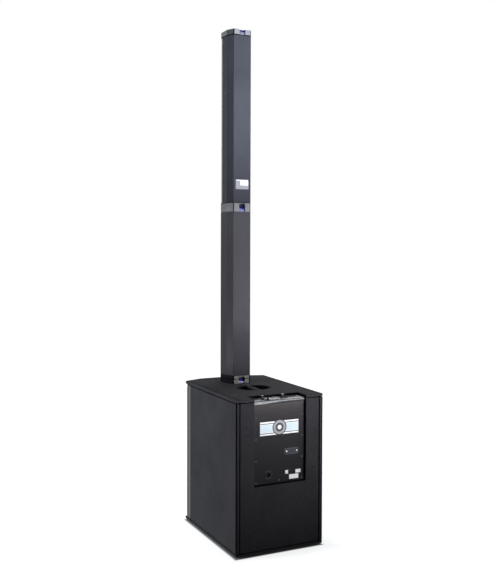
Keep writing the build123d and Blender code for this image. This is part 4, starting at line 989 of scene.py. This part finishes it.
def add_cover_plate():
    """A small dark cover plate held by two bright screws, beside the plate's middle."""
    x0, x1, z0, z1 = COVER_PLATE
    face = PLATE_HIGH[1] + COVER_THICK
    flat_plate("cover_plate", "cover_blue", ON_PLATE, COVER_PLATE, PLATE_HIGH[1], COVER_THICK,
               COVER_RADIUS)
    rim = COVER_RIM_WIDTH
    bm = bmesh.new()
    inner = rounded_rectangle(x0 + rim, x1 - rim, z0 + rim, z1 - rim, COVER_RADIUS - rim)
    add_ring(bm, rounded_rectangle(*COVER_PLATE, COVER_RADIUS), inner, face, face + 0.1 * MM, "Y")
    add_piece("cover_plate_rim", bm, "cover_rim", *ON_PLATE)
    for index, x in enumerate((x0 + 6.5 * MM, x1 - 9.5 * MM)):
        flat_disc(f"cover_screw_{index}", "plate_white", ON_PLATE, (x, (z0 + z1) / 2),
                  COVER_SCREW_RADIUS, 0, face, thickness=0.5 * MM)


def print_line(bm, points, width, level):
    """A flat printed line on the deck through (x, y) points."""
    half = width / 2
    sides = []
    for index, point in enumerate(points):
        before = Vector(points[max(index - 1, 0)])
        after = Vector(points[min(index + 1, len(points) - 1)])
        direction = (after - before).normalized()
        across = Vector((direction.y, -direction.x)) * half
        sides.append((Vector(point) + across, Vector(point) - across))
    outline = [tuple(a) for a, _ in sides] + [tuple(b) for _, b in reversed(sides)]
    add_prism(bm, outline, level, level + PRINT_THICK)


def knob_middle(knob):
    """The middle of a knob, as (x, y)."""
    low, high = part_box(knob)
    return (low[0] + high[0]) / 2, (low[1] + high[1]) / 2


def add_deck_print():
    """Marks round the knobs, and white fields between the controls."""
    level = DECK_HIGH[2]
    bm = bmesh.new()
    for knob in KNOBS:
        cx, cy = knob_middle(knob)

        def place(angle, radius):
            turn = math.radians(angle)
            return cx + radius * math.cos(turn), cy + radius * math.sin(turn)
        for step in range(MARKS):
            angle = MARK_START + MARK_SWEEP * step / (MARKS - 1)
            ends = [place(angle, MARK_INNER), place(angle, MARK_OUTER)]
            print_line(bm, ends, MARK_WIDTH, level)
        angles = range(MARK_START, MARK_START + MARK_SWEEP + 1, ARC_STEP)
        print_line(bm, [place(angle, ARC_RADIUS) for angle in angles], ARC_WIDTH, level)
    for corners in DECK_FIELDS:
        outline = rounded_rectangle(*[value * MM for value in corners], 1.5 * MM)
        add_prism(bm, outline, level, level + PRINT_THICK)
    add_piece("deck_print", bm, "print_white", *ON_DECK)


def add_lip_band():
    """The pale band on the deck's bent rear lip, deep towards +X and narrower towards -X."""
    surface = DECK_HIGH[1]
    x_low, x_high = DECK_LOW[0] + MM, DECK_HIGH[0] - MM
    top, low = DECK_HIGH[2] - 3 * MM, DECK_LOW[2] + 0.5 * MM
    outline = [(x_high, top), (x_high, low), (x_high - 50 * MM, low + 1.5 * MM),
               (x_high - 120 * MM, top - 4.5 * MM), (x_low, top - 3.2 * MM), (x_low, top)]
    bm = bmesh.new()
    add_prism(bm, outline, surface, surface + PRINT_THICK, "Y")
    add_piece("deck_lip_band", bm, "lip_grey", *ON_DECK)


def add_knob_caps():
    """Pale caps let into the tops of the two tall knobs."""
    for knob in KNOBS:
        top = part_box(knob)[1][2]
        bm = bmesh.new()
        outline = circle(*knob_middle(knob), KNOB_CAP_RADIUS, 32)
        add_prism(bm, outline, top - 0.3 * MM, top + 0.35 * MM)
        add_piece(f"{knob}_cap", bm, "print_white", knob, "knob_plastic", bevel=0.2 * MM)


def add_side_inserts():
    """A small round insert in each side of the satellite body."""
    for side, word in ((-1, "right"), (1, "left")):
        surface = side * SATELLITE_HIGH[0]
        levels = sorted((surface - side * 0.5 * MM, surface + side * 0.4 * MM))
        outlines = [circle(INSERT_DEPTH, INSERT_HEIGHT, radius, 24)
                    for radius in (INSERT_OUTER, INSERT_INNER)]
        bm = bmesh.new()
        add_ring(bm, *outlines, *levels, "X")
        add_piece(f"side_insert_{word}", bm, "black_screws", *ON_SATELLITE)


def main():
    """Stage, materials, then every piece of the scene."""
    bpy.context.scene.view_settings.view_transform = "Standard"
    add_camera()
    set_world()
    add_floor()
    add_lights()
    make_materials()
    dress_cad_nodes()
    add_sub_grille()
    add_column_grille()
    add_satellite_label()
    add_banner()
    add_stickers()
    add_cover_plate()
    add_deck_print()
    add_lip_band()
    add_knob_caps()
    add_side_inserts()


main()
